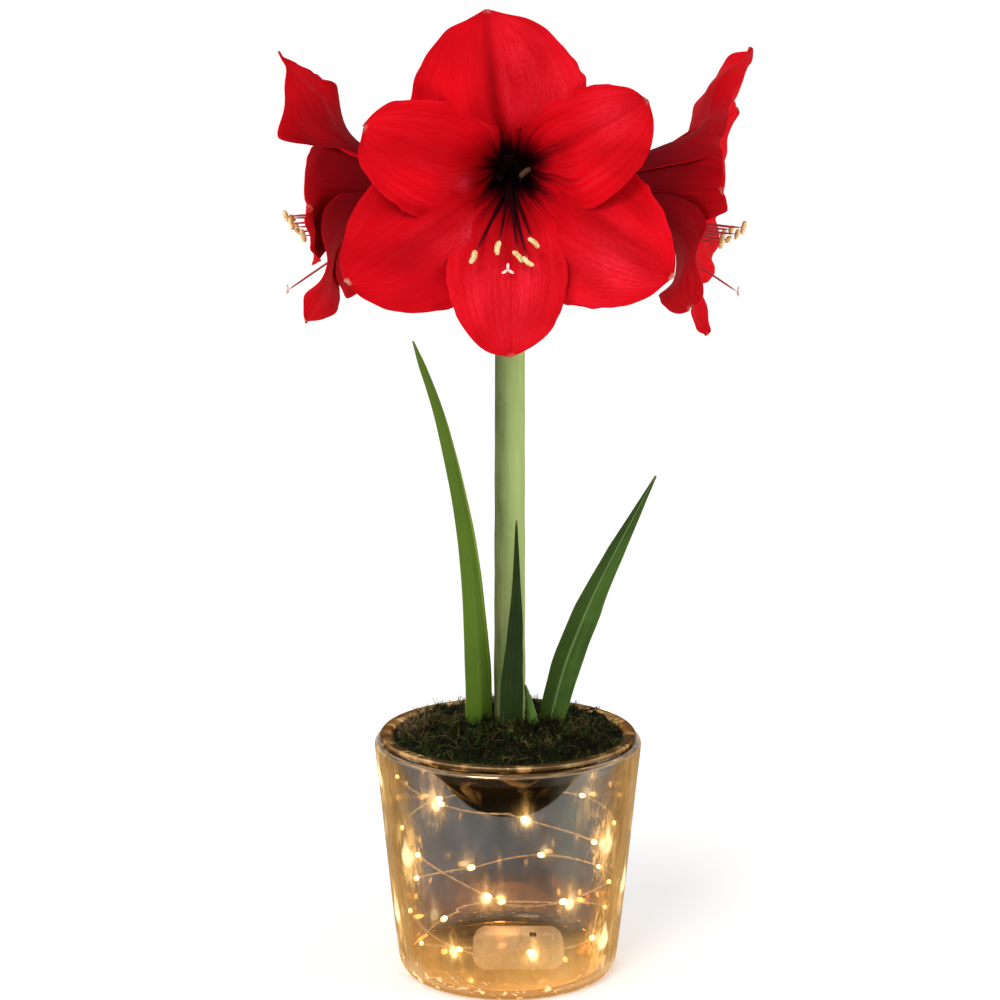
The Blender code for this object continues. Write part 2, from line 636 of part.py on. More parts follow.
def string_point(turns):
    """Middle of the wire after so many turns round the pot, which start at its left side."""
    height = between(STRING_HEIGHTS, turns)
    height += 1.5 * math.sin(turns * 23)
    bulge = 2.2 + 1.2 * (1 + math.sin(turns * 14.5 + 1)) + (4.0 if height < 16 else 0.0)
    radius = pot_radius(height) - POT_WALL - LAMP_RADIUS - bulge
    turn = math.pi + 2 * math.pi * turns
    return Vector((radius * math.cos(turn), radius * math.sin(turn), height))


def make_string(finish):
    spacing = STRING_TURNS / LAMP_COUNT
    points, radii = [], []
    for lamp in range(LAMP_COUNT):
        at = (lamp + 0.3) * spacing
        for share, radius in LAMP_SHAPE:
            points.append(string_point(at + share * LAMP_HALF_TURN))
            radii.append(radius)
        if lamp < LAMP_COUNT - 1:
            points.append(string_point(at + spacing / 2))
            radii.append(WIRE_RADIUS)
    entry = Vector((BOX_CENTRE[0] - BOX_SIZE[0] / 2 - GAP, BOX_CENTRE[1], POT_FLOOR + GAP + BOX_SIZE[2] / 2))
    points += [entry - Vector((6, 0, 0)), entry]
    return rod("light_string", points, radii + [WIRE_RADIUS, WIRE_RADIUS], 4, finish)


def make_box(name, size, centre, bottom, edge, parts, finish):
    shape = bmesh.new()
    bmesh.ops.create_cube(shape, size=MM)
    bmesh.ops.scale(shape, vec=size, verts=shape.verts)
    bmesh.ops.translate(shape, vec=Vector((*centre, bottom + size[2] / 2)) * MM, verts=shape.verts)
    upright = [e for e in shape.edges if abs(e.verts[0].co.z - e.verts[1].co.z) > MM * size[2] / 2]
    bmesh.ops.bevel(shape, geom=upright, offset=edge * MM, segments=parts, affect="EDGES")
    top = max(vertex.co.z for vertex in shape.verts)
    rim = [e for e in shape.edges if min(v.co.z for v in e.verts) > top - 1e-6]
    bmesh.ops.bevel(shape, geom=rim, offset=edge * MM / 4, segments=1, affect="EDGES")
    return make_object(name, shape, finish)


def main():
    for old in list(bpy.data.objects):
        bpy.data.objects.remove(old)
    glass = material("smoky_glass", (0.42, 0.38, 0.30), 0.05, 0.3, 0.4)
    bronze = material("dark_bronze", (0.10, 0.06, 0.03), 0.15, 0.9)
    earth = material("dark_soil", (0.035, 0.022, 0.015), 0.95)
    papery = material("papery_brown", (0.30, 0.17, 0.08), 0.7)
    mossy = material("moss_green", (0.045, 0.05, 0.016), 0.95)
    pale_green = material("pale_green", (0.24, 0.34, 0.12), 0.5)
    leaf_green = material("leaf_green", (0.06, 0.16, 0.03), 0.45)
    red = material("petal_red", (0.75, 0.006, 0.012), 0.5)
    copper = material("copper_wire", (0.75, 0.38, 0.16), 0.3, 1.0)
    frosted = material("frosted_plastic", (0.85, 0.72, 0.5), 0.35)
    dark = material("dark_plastic", (0.03, 0.03, 0.03), 0.4)
    make_pot(glass)
    make_bowl(bronze)
    make_soil(earth)
    make_bulb(papery)
    make_moss(mossy, LEAVES)
    for name, leaf in LEAVES.items():
        make_leaf(name, leaf, leaf_green)
    make_stem(pale_green)
    for name, degrees in BRACT_TURNS.items():
        make_bract(name, degrees, papery)
    for name in BLOOMS:
        make_bloom(name, red)
    make_string(copper)
    box_bottom = POT_FLOOR + GAP
    box_top = box_bottom + BOX_SIZE[2]
    make_box("battery_box", BOX_SIZE, BOX_CENTRE, box_bottom, BOX_CORNER, 4, frosted)
    make_box("box_switch", SWITCH_SIZE, SWITCH_PLACE, box_top + GAP, SWITCH_CORNER, 1, dark)


main()
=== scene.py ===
"""Looks of an amaryllis with three red blooms, planted in moss in a smoky glass pot with a light string.

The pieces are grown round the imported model. Shapes are worked out in millimetres, and MM turns them into
metres. A bloom is shaped in its own frame, with its mouth towards -Y, and is then turned the way it faces.
"""

import math

import bpy
import numpy as np
from mathutils import Matrix, Vector


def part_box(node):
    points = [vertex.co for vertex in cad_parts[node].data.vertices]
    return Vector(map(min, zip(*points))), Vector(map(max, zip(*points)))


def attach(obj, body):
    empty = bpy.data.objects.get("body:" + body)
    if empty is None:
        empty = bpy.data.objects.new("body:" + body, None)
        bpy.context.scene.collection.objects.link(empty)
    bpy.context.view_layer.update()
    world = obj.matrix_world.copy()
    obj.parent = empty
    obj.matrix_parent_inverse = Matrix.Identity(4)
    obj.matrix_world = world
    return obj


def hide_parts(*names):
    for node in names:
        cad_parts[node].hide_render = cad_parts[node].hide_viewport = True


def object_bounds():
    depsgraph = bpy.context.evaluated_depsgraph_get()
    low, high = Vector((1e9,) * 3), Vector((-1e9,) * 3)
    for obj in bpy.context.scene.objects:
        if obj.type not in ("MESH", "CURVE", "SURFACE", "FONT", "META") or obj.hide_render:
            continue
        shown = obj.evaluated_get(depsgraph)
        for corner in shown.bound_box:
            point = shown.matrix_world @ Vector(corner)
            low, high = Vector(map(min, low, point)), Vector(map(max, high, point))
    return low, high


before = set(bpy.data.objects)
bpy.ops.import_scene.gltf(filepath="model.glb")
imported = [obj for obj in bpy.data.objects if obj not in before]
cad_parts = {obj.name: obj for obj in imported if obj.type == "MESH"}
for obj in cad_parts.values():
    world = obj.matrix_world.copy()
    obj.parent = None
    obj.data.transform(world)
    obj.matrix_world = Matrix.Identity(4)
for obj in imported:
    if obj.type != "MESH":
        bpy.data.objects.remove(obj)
CAD_LOW, CAD_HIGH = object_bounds()

bl_info = {
    "name": "Amaryllis in a Lit Glass Pot",
    "version": (1, 0, 0),
    "blender": (4, 5, 0),
    "location": "3D View > Sidebar > Amaryllis",
    "description": "Grows blooms, leaves and moss and builds a lit glass pot round a packed model",
    "category": "Add Mesh",
}

MM = 0.001
TAU = 2 * math.pi
BODY = "root"

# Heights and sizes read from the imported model
POT_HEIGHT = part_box("glass_shell")[1].z / MM
BOWL_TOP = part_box("inner_bowl")[1].z / MM
MOSS_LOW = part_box("moss")[0].z / MM
BATTERY_LOW, BATTERY_HIGH = (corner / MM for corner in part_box("battery_box"))
SWITCH_LOW, SWITCH_HIGH = (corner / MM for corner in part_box("box_switch"))

# Glass pot, as radius and height
POT_WALL = 3.5
POT_FLOOR = 4.0
POT_OUTLINE = ((60.5, 3.0), (62.9, 10.0), (66.4, 40.0), (69.6, 72.0), (72.9, 106.0), (75.2, 128.0))
POT_FOOT_RADIUS = 54.0
LIP_RADIUS = 3.2
FILM_TOP = 137.6

# Bowl in the pot's mouth, as radius and depth under its flange
BOWL_OUTSIDE = ((67.0, 3.0), (56.0, 11.0), (45.0, 20.0), (37.0, 28.5), (29.0, 37.0), (20.0, 44.0),
                (8.0, 48.0))
BOWL_DEPTH = 48.5
BOWL_WALL = 1.7
FLANGE_RADIUS = 72.5
FLANGE_THICKNESS = 2.6
MOUTH_RADIUS = 66.5

# Moss: heights of its edge and its middle, and radii of its floor and of what stands and lies on it
MOSS_EDGE = 137.0
MOSS_CROWN = 147.0
FLOOR_RADIUS = 65.2
SPRIG_RADIUS = 64.5
STREW_RADIUS = 61.0
RIM_RADIUS = 65.5
RIM_WIDTH = 3.5

# Moss: how many sprigs hang over the rim and stand in the dry tuft, the middles of its dry places, how far
# it keeps from the stem's middle and the leaves' middle planes, and how far out it reaches in and over the
# bowl's mouth
RIM_SPRIGS = 230
TUFT_SPRIGS = 70
DRY_SPOT = (-50.0, 4.0)
TUFT_SPOT = (-54.0, 3.0)
NEST_SPOT = (-50.0, 2.0)
STEM_CLEARANCE = 9.6
LEAF_CLEARANCE = 2.2
REACH_IN_MOUTH = 64.9
REACH_OVER_RIM = 73.0

# Flower stem: its place, its radius by height, and how far out and how high the bracts start
STEM_BASE = (1.0, 0.0)
STEM_TOP = 418.0
STEM_LINE = ((136.8, 9.0), (200, 8.7), (300, 8.4), (395, 8.2), (408, 9.0), (414, 8.6), (418, 6.0))
BRACT_HUG = 10.05
BRACT_FOOT = 408.0

# Blooms: places on the way out of the tube, where tepals come free, open and curl, and sizes of the stamens
TUBE_START = 28.0
TUBE_END = 45.0
TEPAL_START = 38.0
TEPAL_BASE = 6.0
PETAL_INSET = 1.7
PETAL_AHEAD = 4.0
OPENING = 38.0
CURL_FROM = 76.0
CURLING = 38.0
TUBE_SLOPE = 21.0
FREE_FROM = 45.0
FREE_OVER = 45.0
FRILL_FROM = 0.62
FILAMENT_RADII = (1.25, 0.62)
STYLE_RADII = (1.0, 0.55)
THREAD_START = 42.0
ANTHER_HALF_LENGTH = 3.9
ANTHER_HALF_WIDTH = 1.45
LOBE_LENGTH = 3.6

# Light string: sizes of a lamp, how many turns it makes, how far its strands go for one twist, the radii of
# the painted light round a lamp, and the wire's height by turns round the pot from its left side
LAMP_RADIUS = 1.7
LAMP_HALF_WIDTH = 1.6
LAMP_HALF_LENGTH = 2.6
LAMP_COUNT = 26
STRING_TURNS = 3.08
STRAND_TWIST = 15.0
HALO = 3.0
WIDE_HALO = 6.8
STRING_HEIGHTS = ((0.0, 116), (0.25, 112), (0.4, 84), (0.75, 86), (1.0, 80), (1.1, 78), (1.25, 57), (1.4, 55),
                  (1.6, 50), (1.8, 41), (2.0, 43), (2.2, 24), (2.5, 31), (2.75, 17), (2.95, 13), (3.1, 10))

# Battery box and its switch: how round their upright corners and their rims are, and the lid's seam
BOX_CORNER = 8.0
BOX_EDGE = 2.2
SEAM_UP = 2.4
SEAM_WIDTH = 0.5
SEAM_DEPTH = 0.35
SWITCH_CORNER = 0.5
SWITCH_EDGE = 0.35


# Sums on many points at once

def ease(value):
    """Smooth step from 0 to 1."""
    value = np.clip(value, 0.0, 1.0)
    return value * value * (3 - 2 * value)


def table(pairs, place):
    """Straight interpolation in pairs of (place, value)."""
    return np.interp(place, [pair[0] for pair in pairs], [pair[1] for pair in pairs])


def along(route, share):
    """Points on a smooth curve through the route's points, at shares from 0 to 1."""
    route = np.array(route, float)
    route = np.vstack((2 * route[0] - route[1], route, 2 * route[-1] - route[-2]))
    spans = len(route) - 3
    step = np.minimum((share * spans).astype(int), spans - 1)
    t = (share * spans - step)[:, None]
    a, b, c, d = (route[step + offset] for offset in range(4))
    curve = (2 * a - 5 * b + 4 * c - d) * t ** 2 + (3 * b - a - 3 * c + d) * t ** 3
    return 0.5 * (2 * b + (c - a) * t + curve)


def round_about(radius, turn):
    """Places on circles about the axis, in two rows."""
    return radius * np.cos(turn), radius * np.sin(turn)


def unit(vectors):
    return vectors / np.maximum(np.linalg.norm(vectors, axis=-1, keepdims=True), 1e-9)


def swells(points, size, seed, count=9):
    """Smooth random bumps from about -1 to 1 at each point, about size apart."""
    draw = np.random.default_rng(seed)
    points = np.atleast_2d(np.asarray(points, float).T).T
    total = np.zeros(len(points))
    for _ in range(count):
        direction = unit(draw.normal(size=points.shape[1]))
        total += np.sin(points @ direction * TAU / (size * draw.uniform(0.7, 1.5)) + draw.uniform(0, TAU))
    return total / math.sqrt(count)


# Meshes: each piece starts from a primitive and ends at the origin, with its place in its mesh

def deselect():
    bpy.ops.object.select_all(action="DESELECT")


def select(piece):
    deselect()
    piece.select_set(True)
    bpy.context.view_layer.objects.active = piece


def points_of(piece):
    flat = np.empty(len(piece.data.vertices) * 3)
    piece.data.vertices.foreach_get("co", flat)
    return flat.reshape(-1, 3)


def move_points(piece, points):
    piece.data.vertices.foreach_set("co", np.ascontiguousarray(points, float).ravel())
    piece.data.update()


def note(piece, name, values):
    """Keep a number for each point of the piece, for its material to read."""
    attribute = piece.data.attributes.get(name) or piece.data.attributes.new(name, "FLOAT", "POINT")
    attribute.data.foreach_set("value", np.broadcast_to(values, len(piece.data.vertices)).astype(np.float32))


def noted(piece, name):
    values = np.empty(len(piece.data.vertices), np.float32)
    piece.data.attributes[name].data.foreach_get("value", values)
    return values.astype(float)


def modify(piece, kind, **settings):
    """Add a modifier and apply it."""
    select(piece)
    bpy.ops.object.modifier_add(type=kind)
    modifier = piece.modifiers[-1]
    for name, value in settings.items():
        setattr(modifier, name, value)
    bpy.ops.object.modifier_apply(modifier=modifier.name)


def edit(piece, *steps):
    """Take a piece's whole mesh through steps, each an operator's name and its settings."""
    select(piece)
    bpy.ops.object.mode_set(mode="EDIT")
    bpy.ops.mesh.select_all(action="SELECT")
    for name, settings in steps:
        getattr(bpy.ops.mesh, name)(**settings)
    bpy.ops.object.mode_set(mode="OBJECT")


def close(piece):
    """Merge the points that meet, and turn the faces outwards."""
    edit(piece, ("remove_doubles", {"threshold": 2e-6}), ("normals_make_consistent", {"inside": False}))


def shaped_grid(name, rows, columns, shape):
    """Add a grid and place its points, in millimetres, by shape(up, across), which takes shares from 0 to 1.

    Where shape also gives a table of values, the piece keeps them.
    """
    deselect()
    bpy.ops.mesh.primitive_grid_add(x_subdivisions=columns, y_subdivisions=rows, size=1.0)
    piece = bpy.context.object
    piece.name = piece.data.name = name
    flat = points_of(piece)
    up, across = flat[:, 1] + 0.5, flat[:, 0] + 0.5
    made = shape(up, across)
    points, values = made if isinstance(made, tuple) else (made, {})
    move_points(piece, points * MM)
    for label, kept in {"up": up, "across": across, **values}.items():
        note(piece, label, kept)
    return piece


def tube(name, route, radii, sides, squash=None):
    """A closed tube along a route in millimetres, with a radius at each of its points."""
    route, radii = np.asarray(route, float), np.asarray(radii, float)
    last = len(route) - 1
    ahead = unit(np.gradient(route, axis=0))
    side = np.array((0.31, 0.17, 0.93))
    sides_of = []
    for direction in ahead:
        side = unit(side - direction * (side @ direction))
        sides_of.append(side)
    sides_of = np.array(sides_of)
    others = np.cross(ahead, sides_of)

    def shape(up, across):
        index, turn = np.rint(up * last).astype(int), TAU * across
        offset = sides_of[index] * np.cos(turn)[:, None] + others[index] * np.sin(turn)[:, None]
        stretch = radii[index] if squash is None else radii[index] * squash(up, turn)
        return route[index] + offset * stretch[:, None]

    piece = shaped_grid(name, last, sides, shape)
    close(piece)
    return piece


def rounded_ends(radii, steps=3):
    """Let radii fall to nothing at both ends, in a round."""
    radii = np.array(radii, float)
    for step in range(steps):
        share = math.sqrt(1 - (1 - step / steps) ** 2)
        radii[step] *= share
        radii[-1 - step] *= share
    return radii


def turned(name, outline, segments, squash=None):
    """Turn an outline of (radius, height) about the Z axis, from its first point on the axis to its last."""
    outline = np.asarray(outline, float)
    last = len(outline) - 1

    def shape(up, across):
        index, turn = np.rint(up * last).astype(int), TAU * across
        radius, height = outline[index].T
        stretch = radius if squash is None else radius * squash(up, turn)
        return np.stack((*round_about(stretch, turn), height), axis=1)

    piece = shaped_grid(name, last, segments, shape)
    close(piece)
    return piece


def wall(piece, thickness, group=None, back_slot=0):
    """Give a sheet its thickness, half to each side, thinner where the named value is low."""
    settings = {"thickness": thickness * MM, "offset": 0.0, "material_offset": back_slot}
    if group:
        made = piece.vertex_groups.new(name=group)
        for index, weight in enumerate(noted(piece, group)):
            made.add([index], float(weight), "REPLACE")
        settings["vertex_group"] = group
        settings["thickness_vertex_group"] = 0.3
    modify(piece, "SOLIDIFY", **settings)
    piece.vertex_groups.clear()


def joined(name, pieces):
    """Join pieces into one object."""
    deselect()
    for piece in pieces:
        piece.select_set(True)
    bpy.context.view_layer.objects.active = pieces[0]
    if len(pieces) > 1:
        bpy.ops.object.join()
    pieces[0].name = pieces[0].data.name = name
    return pieces[0]


def copies(name, models, places):
    """Copy small models to many places, each a 3 by 3 turn, a point and a tone, as one piece."""
    points, faces, shades = [], [], []
    start = 0
    for index, (turn, point, tone) in enumerate(places):
        corners, polygons = models[index % len(models)]
        points.append(corners @ turn.T + point)
        shades.append(np.full(len(corners), tone))
        faces.extend([[corner + start for corner in polygon] for polygon in polygons])
        start += len(corners)
    mesh = bpy.data.meshes.new(name)
    mesh.from_pydata((np.vstack(points) * MM).tolist(), [], faces)
    piece = bpy.data.objects.new(name, mesh)
    bpy.context.scene.collection.objects.link(piece)
    note(piece, "tone", np.concatenate(shades))
    return piece


def settle(piece, finishes, nodes=(), smooth=True, angle=None):
    """Finish a piece: keep it in the model's box, give it its materials, and let it ride on the model."""
    margin = 1e-5
    low, high = np.array(CAD_LOW) + margin, np.array(CAD_HIGH) - margin
    move_points(piece, np.clip(points_of(piece), low, high))
    piece.data.materials.clear()
    for finish in finishes:
        piece.data.materials.append(finish)
    select(piece)
    if smooth and angle is None:
        bpy.ops.object.shade_smooth()
    elif smooth:
        bpy.ops.object.shade_smooth_by_angle(angle=math.radians(angle))
    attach(piece, BODY)
    if nodes:
        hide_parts(*nodes)
    return piece


# Materials

BLACK = (0.0, 0.0, 0.0)
WHITE = (1.0, 1.0, 1.0)


class Signal:
    """A node's output in a material. Arithmetic on it adds Math nodes, and node() adds any other node."""

    def __init__(self, tree, socket=None):
        self.tree = tree
        self.socket = socket

    def node(self, kind, settings=None, inputs=None, output=0):
        made = self.tree.nodes.new("ShaderNode" + kind)
        for name, value in (settings or {}).items():
            if name == "stops":
                self.fill_ramp(made.color_ramp, value)
            else:
                setattr(made, name, value)
        for name, value in (inputs or {}).items():
            if isinstance(value, Signal):
                self.tree.links.new(value.socket, made.inputs[name])
            else:
                made.inputs[name].default_value = value
        return Signal(self.tree, made.outputs[output])

    @staticmethod
    def fill_ramp(ramp, stops):
        while len(ramp.elements) < len(stops):
            ramp.elements.new(1.0)
        for element, (place, colour) in zip(ramp.elements, stops):
            element.position = place
            element.color = (*colour, 1.0)

    def maths(self, operation, *others):
        return self.node("Math", {"operation": operation}, dict(enumerate((self, *others))))

    def __add__(self, other):
        return self.maths("ADD", other)

    def __sub__(self, other):
        return self.maths("SUBTRACT", other)

    def __rsub__(self, other):
        return self.node("Math", {"operation": "SUBTRACT"}, {0: other, 1: self})

    def __mul__(self, other):
        return self.maths("MULTIPLY", other)

    def __truediv__(self, other):
        return self.maths("DIVIDE", other)

    def __abs__(self):
        return self.maths("ABSOLUTE")

    __radd__ = __add__
    __rmul__ = __mul__

    def between(self, low, high, start=0.0, end=1.0):
        """Smooth step as the value goes from low to high."""
        return self.node("MapRange", {"interpolation_type": "SMOOTHSTEP"},
                         {"Value": self, "From Min": low, "From Max": high, "To Min": start, "To Max": end})

    def falling(self, low, high):
        """Smooth step down from 1 to 0."""
        return self.between(low, high, 1.0, 0.0)

    def ramp(self, *stops):
        return self.node("ValToRGB", {"stops": stops}, {"Fac": self})

    def mix(self, low, high):
        """Mix two colours, with this value as the share of the second."""
        return self.node("Mix", {"data_type": "RGBA"}, {0: self, 6: rgba(low), 7: rgba(high)}, 2)

    @staticmethod
    def layers(colour, *coats):
        """Lay coats on a colour, one after another, each a share and a colour."""
        for share, coat in coats:
            colour = share.mix(colour, coat)
        return colour

    def value(self, name):
        """A value that the piece keeps at each point."""
        return self.node("Attribute", {"attribute_name": name}, output="Fac")

    def values(self, *names):
        return (self.value(name) for name in names)

    def place(self):
        return self.node("TexCoord", output="Object")

    def part(self, axis):
        return self.node("SeparateXYZ", None, {"Vector": self}, axis)

    def vector(self, x, y, z):
        return self.node("CombineXYZ", None, {"X": x, "Y": y, "Z": z})

    def stretched(self, wide, high):
        """This place with its X and Y times one number and its Z times another, for upright patterns."""
        return self.vector(self.part("X") * wide, self.part("Y") * wide, self.part("Z") * high)

    def noise(self, scale=1.0, detail=2.0, roughness=0.5, twist=0.0):
        """Noise over this vector, from 0 to 1."""
        return self.node("TexNoise", None, {"Vector": self, "Scale": scale, "Detail": detail,
                                            "Roughness": roughness, "Distortion": twist})

    def cells(self, scale):
        return self.node("TexVoronoi", None, {"Vector": self, "Scale": scale}, "Distance")

    def bump(self, strength, distance, under=None):
        """A normal that this height gives, over another one."""
        inputs = {"Height": self, "Strength": strength, "Distance": distance}
        if under is not None:
            inputs["Normal"] = under
        return self.node("Bump", None, inputs)


def rgba(colour):
    return colour if isinstance(colour, Signal) else (*colour, 1.0)


def new_finish(name):
    """A new material, and a signal to start its pattern from."""
    finish = bpy.data.materials.new(name)
    finish.use_nodes = True
    return finish, Signal(finish.node_tree)


def dress(finish, **sockets):
    """Set the surface shader's sockets: a word with _ names the socket with a space."""
    shader = finish.node_tree.nodes["Principled BSDF"]
    for name, value in sockets.items():
        target = shader.inputs[name.replace("_", " ")]
        if isinstance(value, Signal):
            finish.node_tree.links.new(value.socket, target)
        else:
            target.default_value = rgba(value) if target.type == "RGBA" else value
    return finish


def grainy(name, noise, stops, bump, rough, spread=0.0, **sockets):
    """A material that one noise colours, roughens and bumps."""
    finish, start = new_finish(name)
    grain = start.place().noise(*noise)
    return dress(finish, Base_Color=grain.ramp(*stops), Roughness=grain * spread + rough,
                 Normal=grain.bump(*bump), **sockets)


# What a user would change

def a_colour(name, default, description):
    return bpy.props.FloatVectorProperty(name=name, description=description, default=default,
                                         subtype="COLOR", min=0.0, max=1.0, size=3)


def a_length(name, default, description):
    """A small length in metres."""
    return bpy.props.FloatProperty(name=name, description=description, default=default * MM, min=0.1 * MM,
                                   max=5 * MM, unit="LENGTH")


def a_count(name, default, description, least=0, most=1000):
    return bpy.props.IntProperty(name=name, description=description, default=default, min=least, max=most)


def an_amount(name, default, description, most, least=0.0, **more):
    return bpy.props.FloatProperty(name=name, description=description, default=default, min=least, max=most,
                                   **more)


class BloomSettings(bpy.types.PropertyGroup):
    """Petals, stamens and styles."""
    red: a_colour("Red", (0.685, 0.0020, 0.0075), "Main colour of the petals")
    pink: a_colour("Sheen", (0.78, 0.026, 0.050), "Colour of the lighter veins and of the petals' sheen")
    # Fold red is also the painted shade in the hollows of the tepals' folds
    deep: a_colour("Fold red", (0.47, 0.0022, 0.0055), "Colour of the deeper veins and folds")
    # The throat's darkness is partly the flower's own colour and partly painted shade
    throat: a_colour("Throat", (0.012, 0.0015, 0.004), "Colour deep in the throat")
    pollen: a_colour("Pollen", (0.80, 0.62, 0.26), "Colour of the anthers")
    thickness: a_length("Petal thickness", 0.8, "Thickness at a petal's midrib")
    rows: a_count("Petal rows", 84, "Faces along a petal", 12, 200)
    columns: a_count("Petal columns", 52, "Faces across a petal", 8, 120)


class GreenSettings(bpy.types.PropertyGroup):
    """Leaves, flower stem and bracts."""
    stem_light: a_colour("Stem", (0.42, 0.55, 0.185), "Lit colour of the flower stem")
    stem_dark: a_colour("Stem shade", (0.022, 0.037, 0.003), "Darker colour of the flower stem")
    bract: a_colour("Bract", (0.42, 0.26, 0.12), "Colour of the dry bracts")
    leaf_thickness: a_length("Leaf thickness", 2.0, "Thickness at a leaf's midrib")


class MossSettings(bpy.types.PropertyGroup):
    """Moss, fibres and crumbs on the soil."""
    sprigs: a_count("Sprigs", 2700, "Moss sprigs", 100, 6000)
    fibres: a_count("Fibres", 110, "Dry fibres")
    crumbs: a_count("Crumbs", 260, "Bark and soil crumbs")
    seed: a_count("Seed", 7, "Start of the random draw")


class PotSettings(bpy.types.PropertyGroup):
    """Glass, its mirror film and the bowl."""
    film: an_amount("Film", 0.69, "How much the smoky film hides", 1.0, subtype="FACTOR")
    silver: a_colour("Film colour", (0.29, 0.27, 0.205), "Mirror colour of the film")
    smoke: a_colour("Smoke", (0.14, 0.115, 0.070), "Darker cloudy parts of the film")
    copper: a_colour("Rim", (0.80, 0.52, 0.29), "Colour of the rim")
    amber: a_colour("Glow", (0.97, 0.50, 0.12), "Colour of the light in the glass")
    bronze: a_colour("Bowl", (0.008, 0.0042, 0.0015), "Colour of the bowl")


class LightSettings(bpy.types.PropertyGroup):
    """Lamps, wire and battery box."""
    lamp: a_colour("Lamp", (1.0, 0.66, 0.26), "Colour of the lamps")
    strength: an_amount("Lamp strength", 26.0, "Brightness of the lamps", 200.0)
    wire: a_length("Wire", 0.5, "Diameter of one strand")


class StageSettings(bpy.types.PropertyGroup):
    """Floor, lights and camera."""
    focal: an_amount("Focal length", 98.532, "Camera's focal length", 300.0, 20.0, unit="CAMERA")
    floor: a_colour("Floor", (0.97, 0.97, 0.97), "Colour of the floor")
    daylight: an_amount("Daylight", 0.70, "Brightness all round", 4.0)
    key: an_amount("Key light", 1.0, "Strength of the main light", 10.0)


class PlantSettings(bpy.types.PropertyGroup):
    """All settings of the plant."""
    bloom: bpy.props.PointerProperty(type=BloomSettings, name="Blooms", description="Blooms")
    green: bpy.props.PointerProperty(type=GreenSettings, name="Green parts", description="Leaves and stem")
    moss: bpy.props.PointerProperty(type=MossSettings, name="Moss", description="Moss and soil")
    pot: bpy.props.PointerProperty(type=PotSettings, name="Pot", description="Glass pot and bowl")
    light: bpy.props.PointerProperty(type=LightSettings, name="Lights", description="Light string")
    stage: bpy.props.PointerProperty(type=StageSettings, name="Stage", description="Floor, lights and camera")


def settings():
    return bpy.context.scene.amaryllis


# Light string: the route is needed by the glass too, which has painted glow round each lamp

def pot_radius(height):
    return table([(z, radius) for radius, z in POT_OUTLINE], height)


def string_points(turns):
    """Middle of the wire after so many turns round the pot, which start at its left side."""
    height = table(STRING_HEIGHTS, turns) + 1.5 * np.sin(turns * 23)
    bulge = 2.2 + 1.2 * (1 + np.sin(turns * 14.5 + 1)) + np.where(height < 16, 4.0, 0.0)
    radius = pot_radius(height) - POT_WALL - LAMP_RADIUS - bulge
    turn = math.pi + TAU * turns
    return np.stack((radius * np.cos(turn), radius * np.sin(turn), height), axis=-1)


def lamp_turns():
    return (np.arange(LAMP_COUNT) + 0.3) * STRING_TURNS / LAMP_COUNT


# Blooms

def tepal(angle, reach, wide, narrow, **more):
    """Shape of one tepal: its angle, the radius of its tip, and its half widths on the two sides.

    Its spots of painted sheen, lighter and pinker where light falls, and its spots of painted shade are given
    as place up it, place across it, length, width and strength.
    """
    shape = {"angle": angle, "reach": reach, "wide": wide, "narrow": narrow, "inner": False, "opens": 57.0,
             "flare": 66.0, "lean": 0.0, "cup": -0.006, "wave": 2.0, "waves": 1.5, "phase": 0.0, "curl": 0.0,
             "length": 170, "broadest": 0.64, "growth": 0.9, "round": 0.55, "twist": 0.0, "flap": None,
             "crease": 1.6, "dark": 40.0, "tip": 0.2, "pale": (), "dusk": ()}
    shape.update(more)
    return shape


def petal(angle, reach, wide, narrow, **more):
    """A tepal of the inner whorl, which lies in front of the outer one."""
    return tepal(angle, reach, wide, narrow, **{"inner": True, "cup": -0.001, "broadest": 0.62, "round": 0.45,
                                                "wave": 2.4, **more})
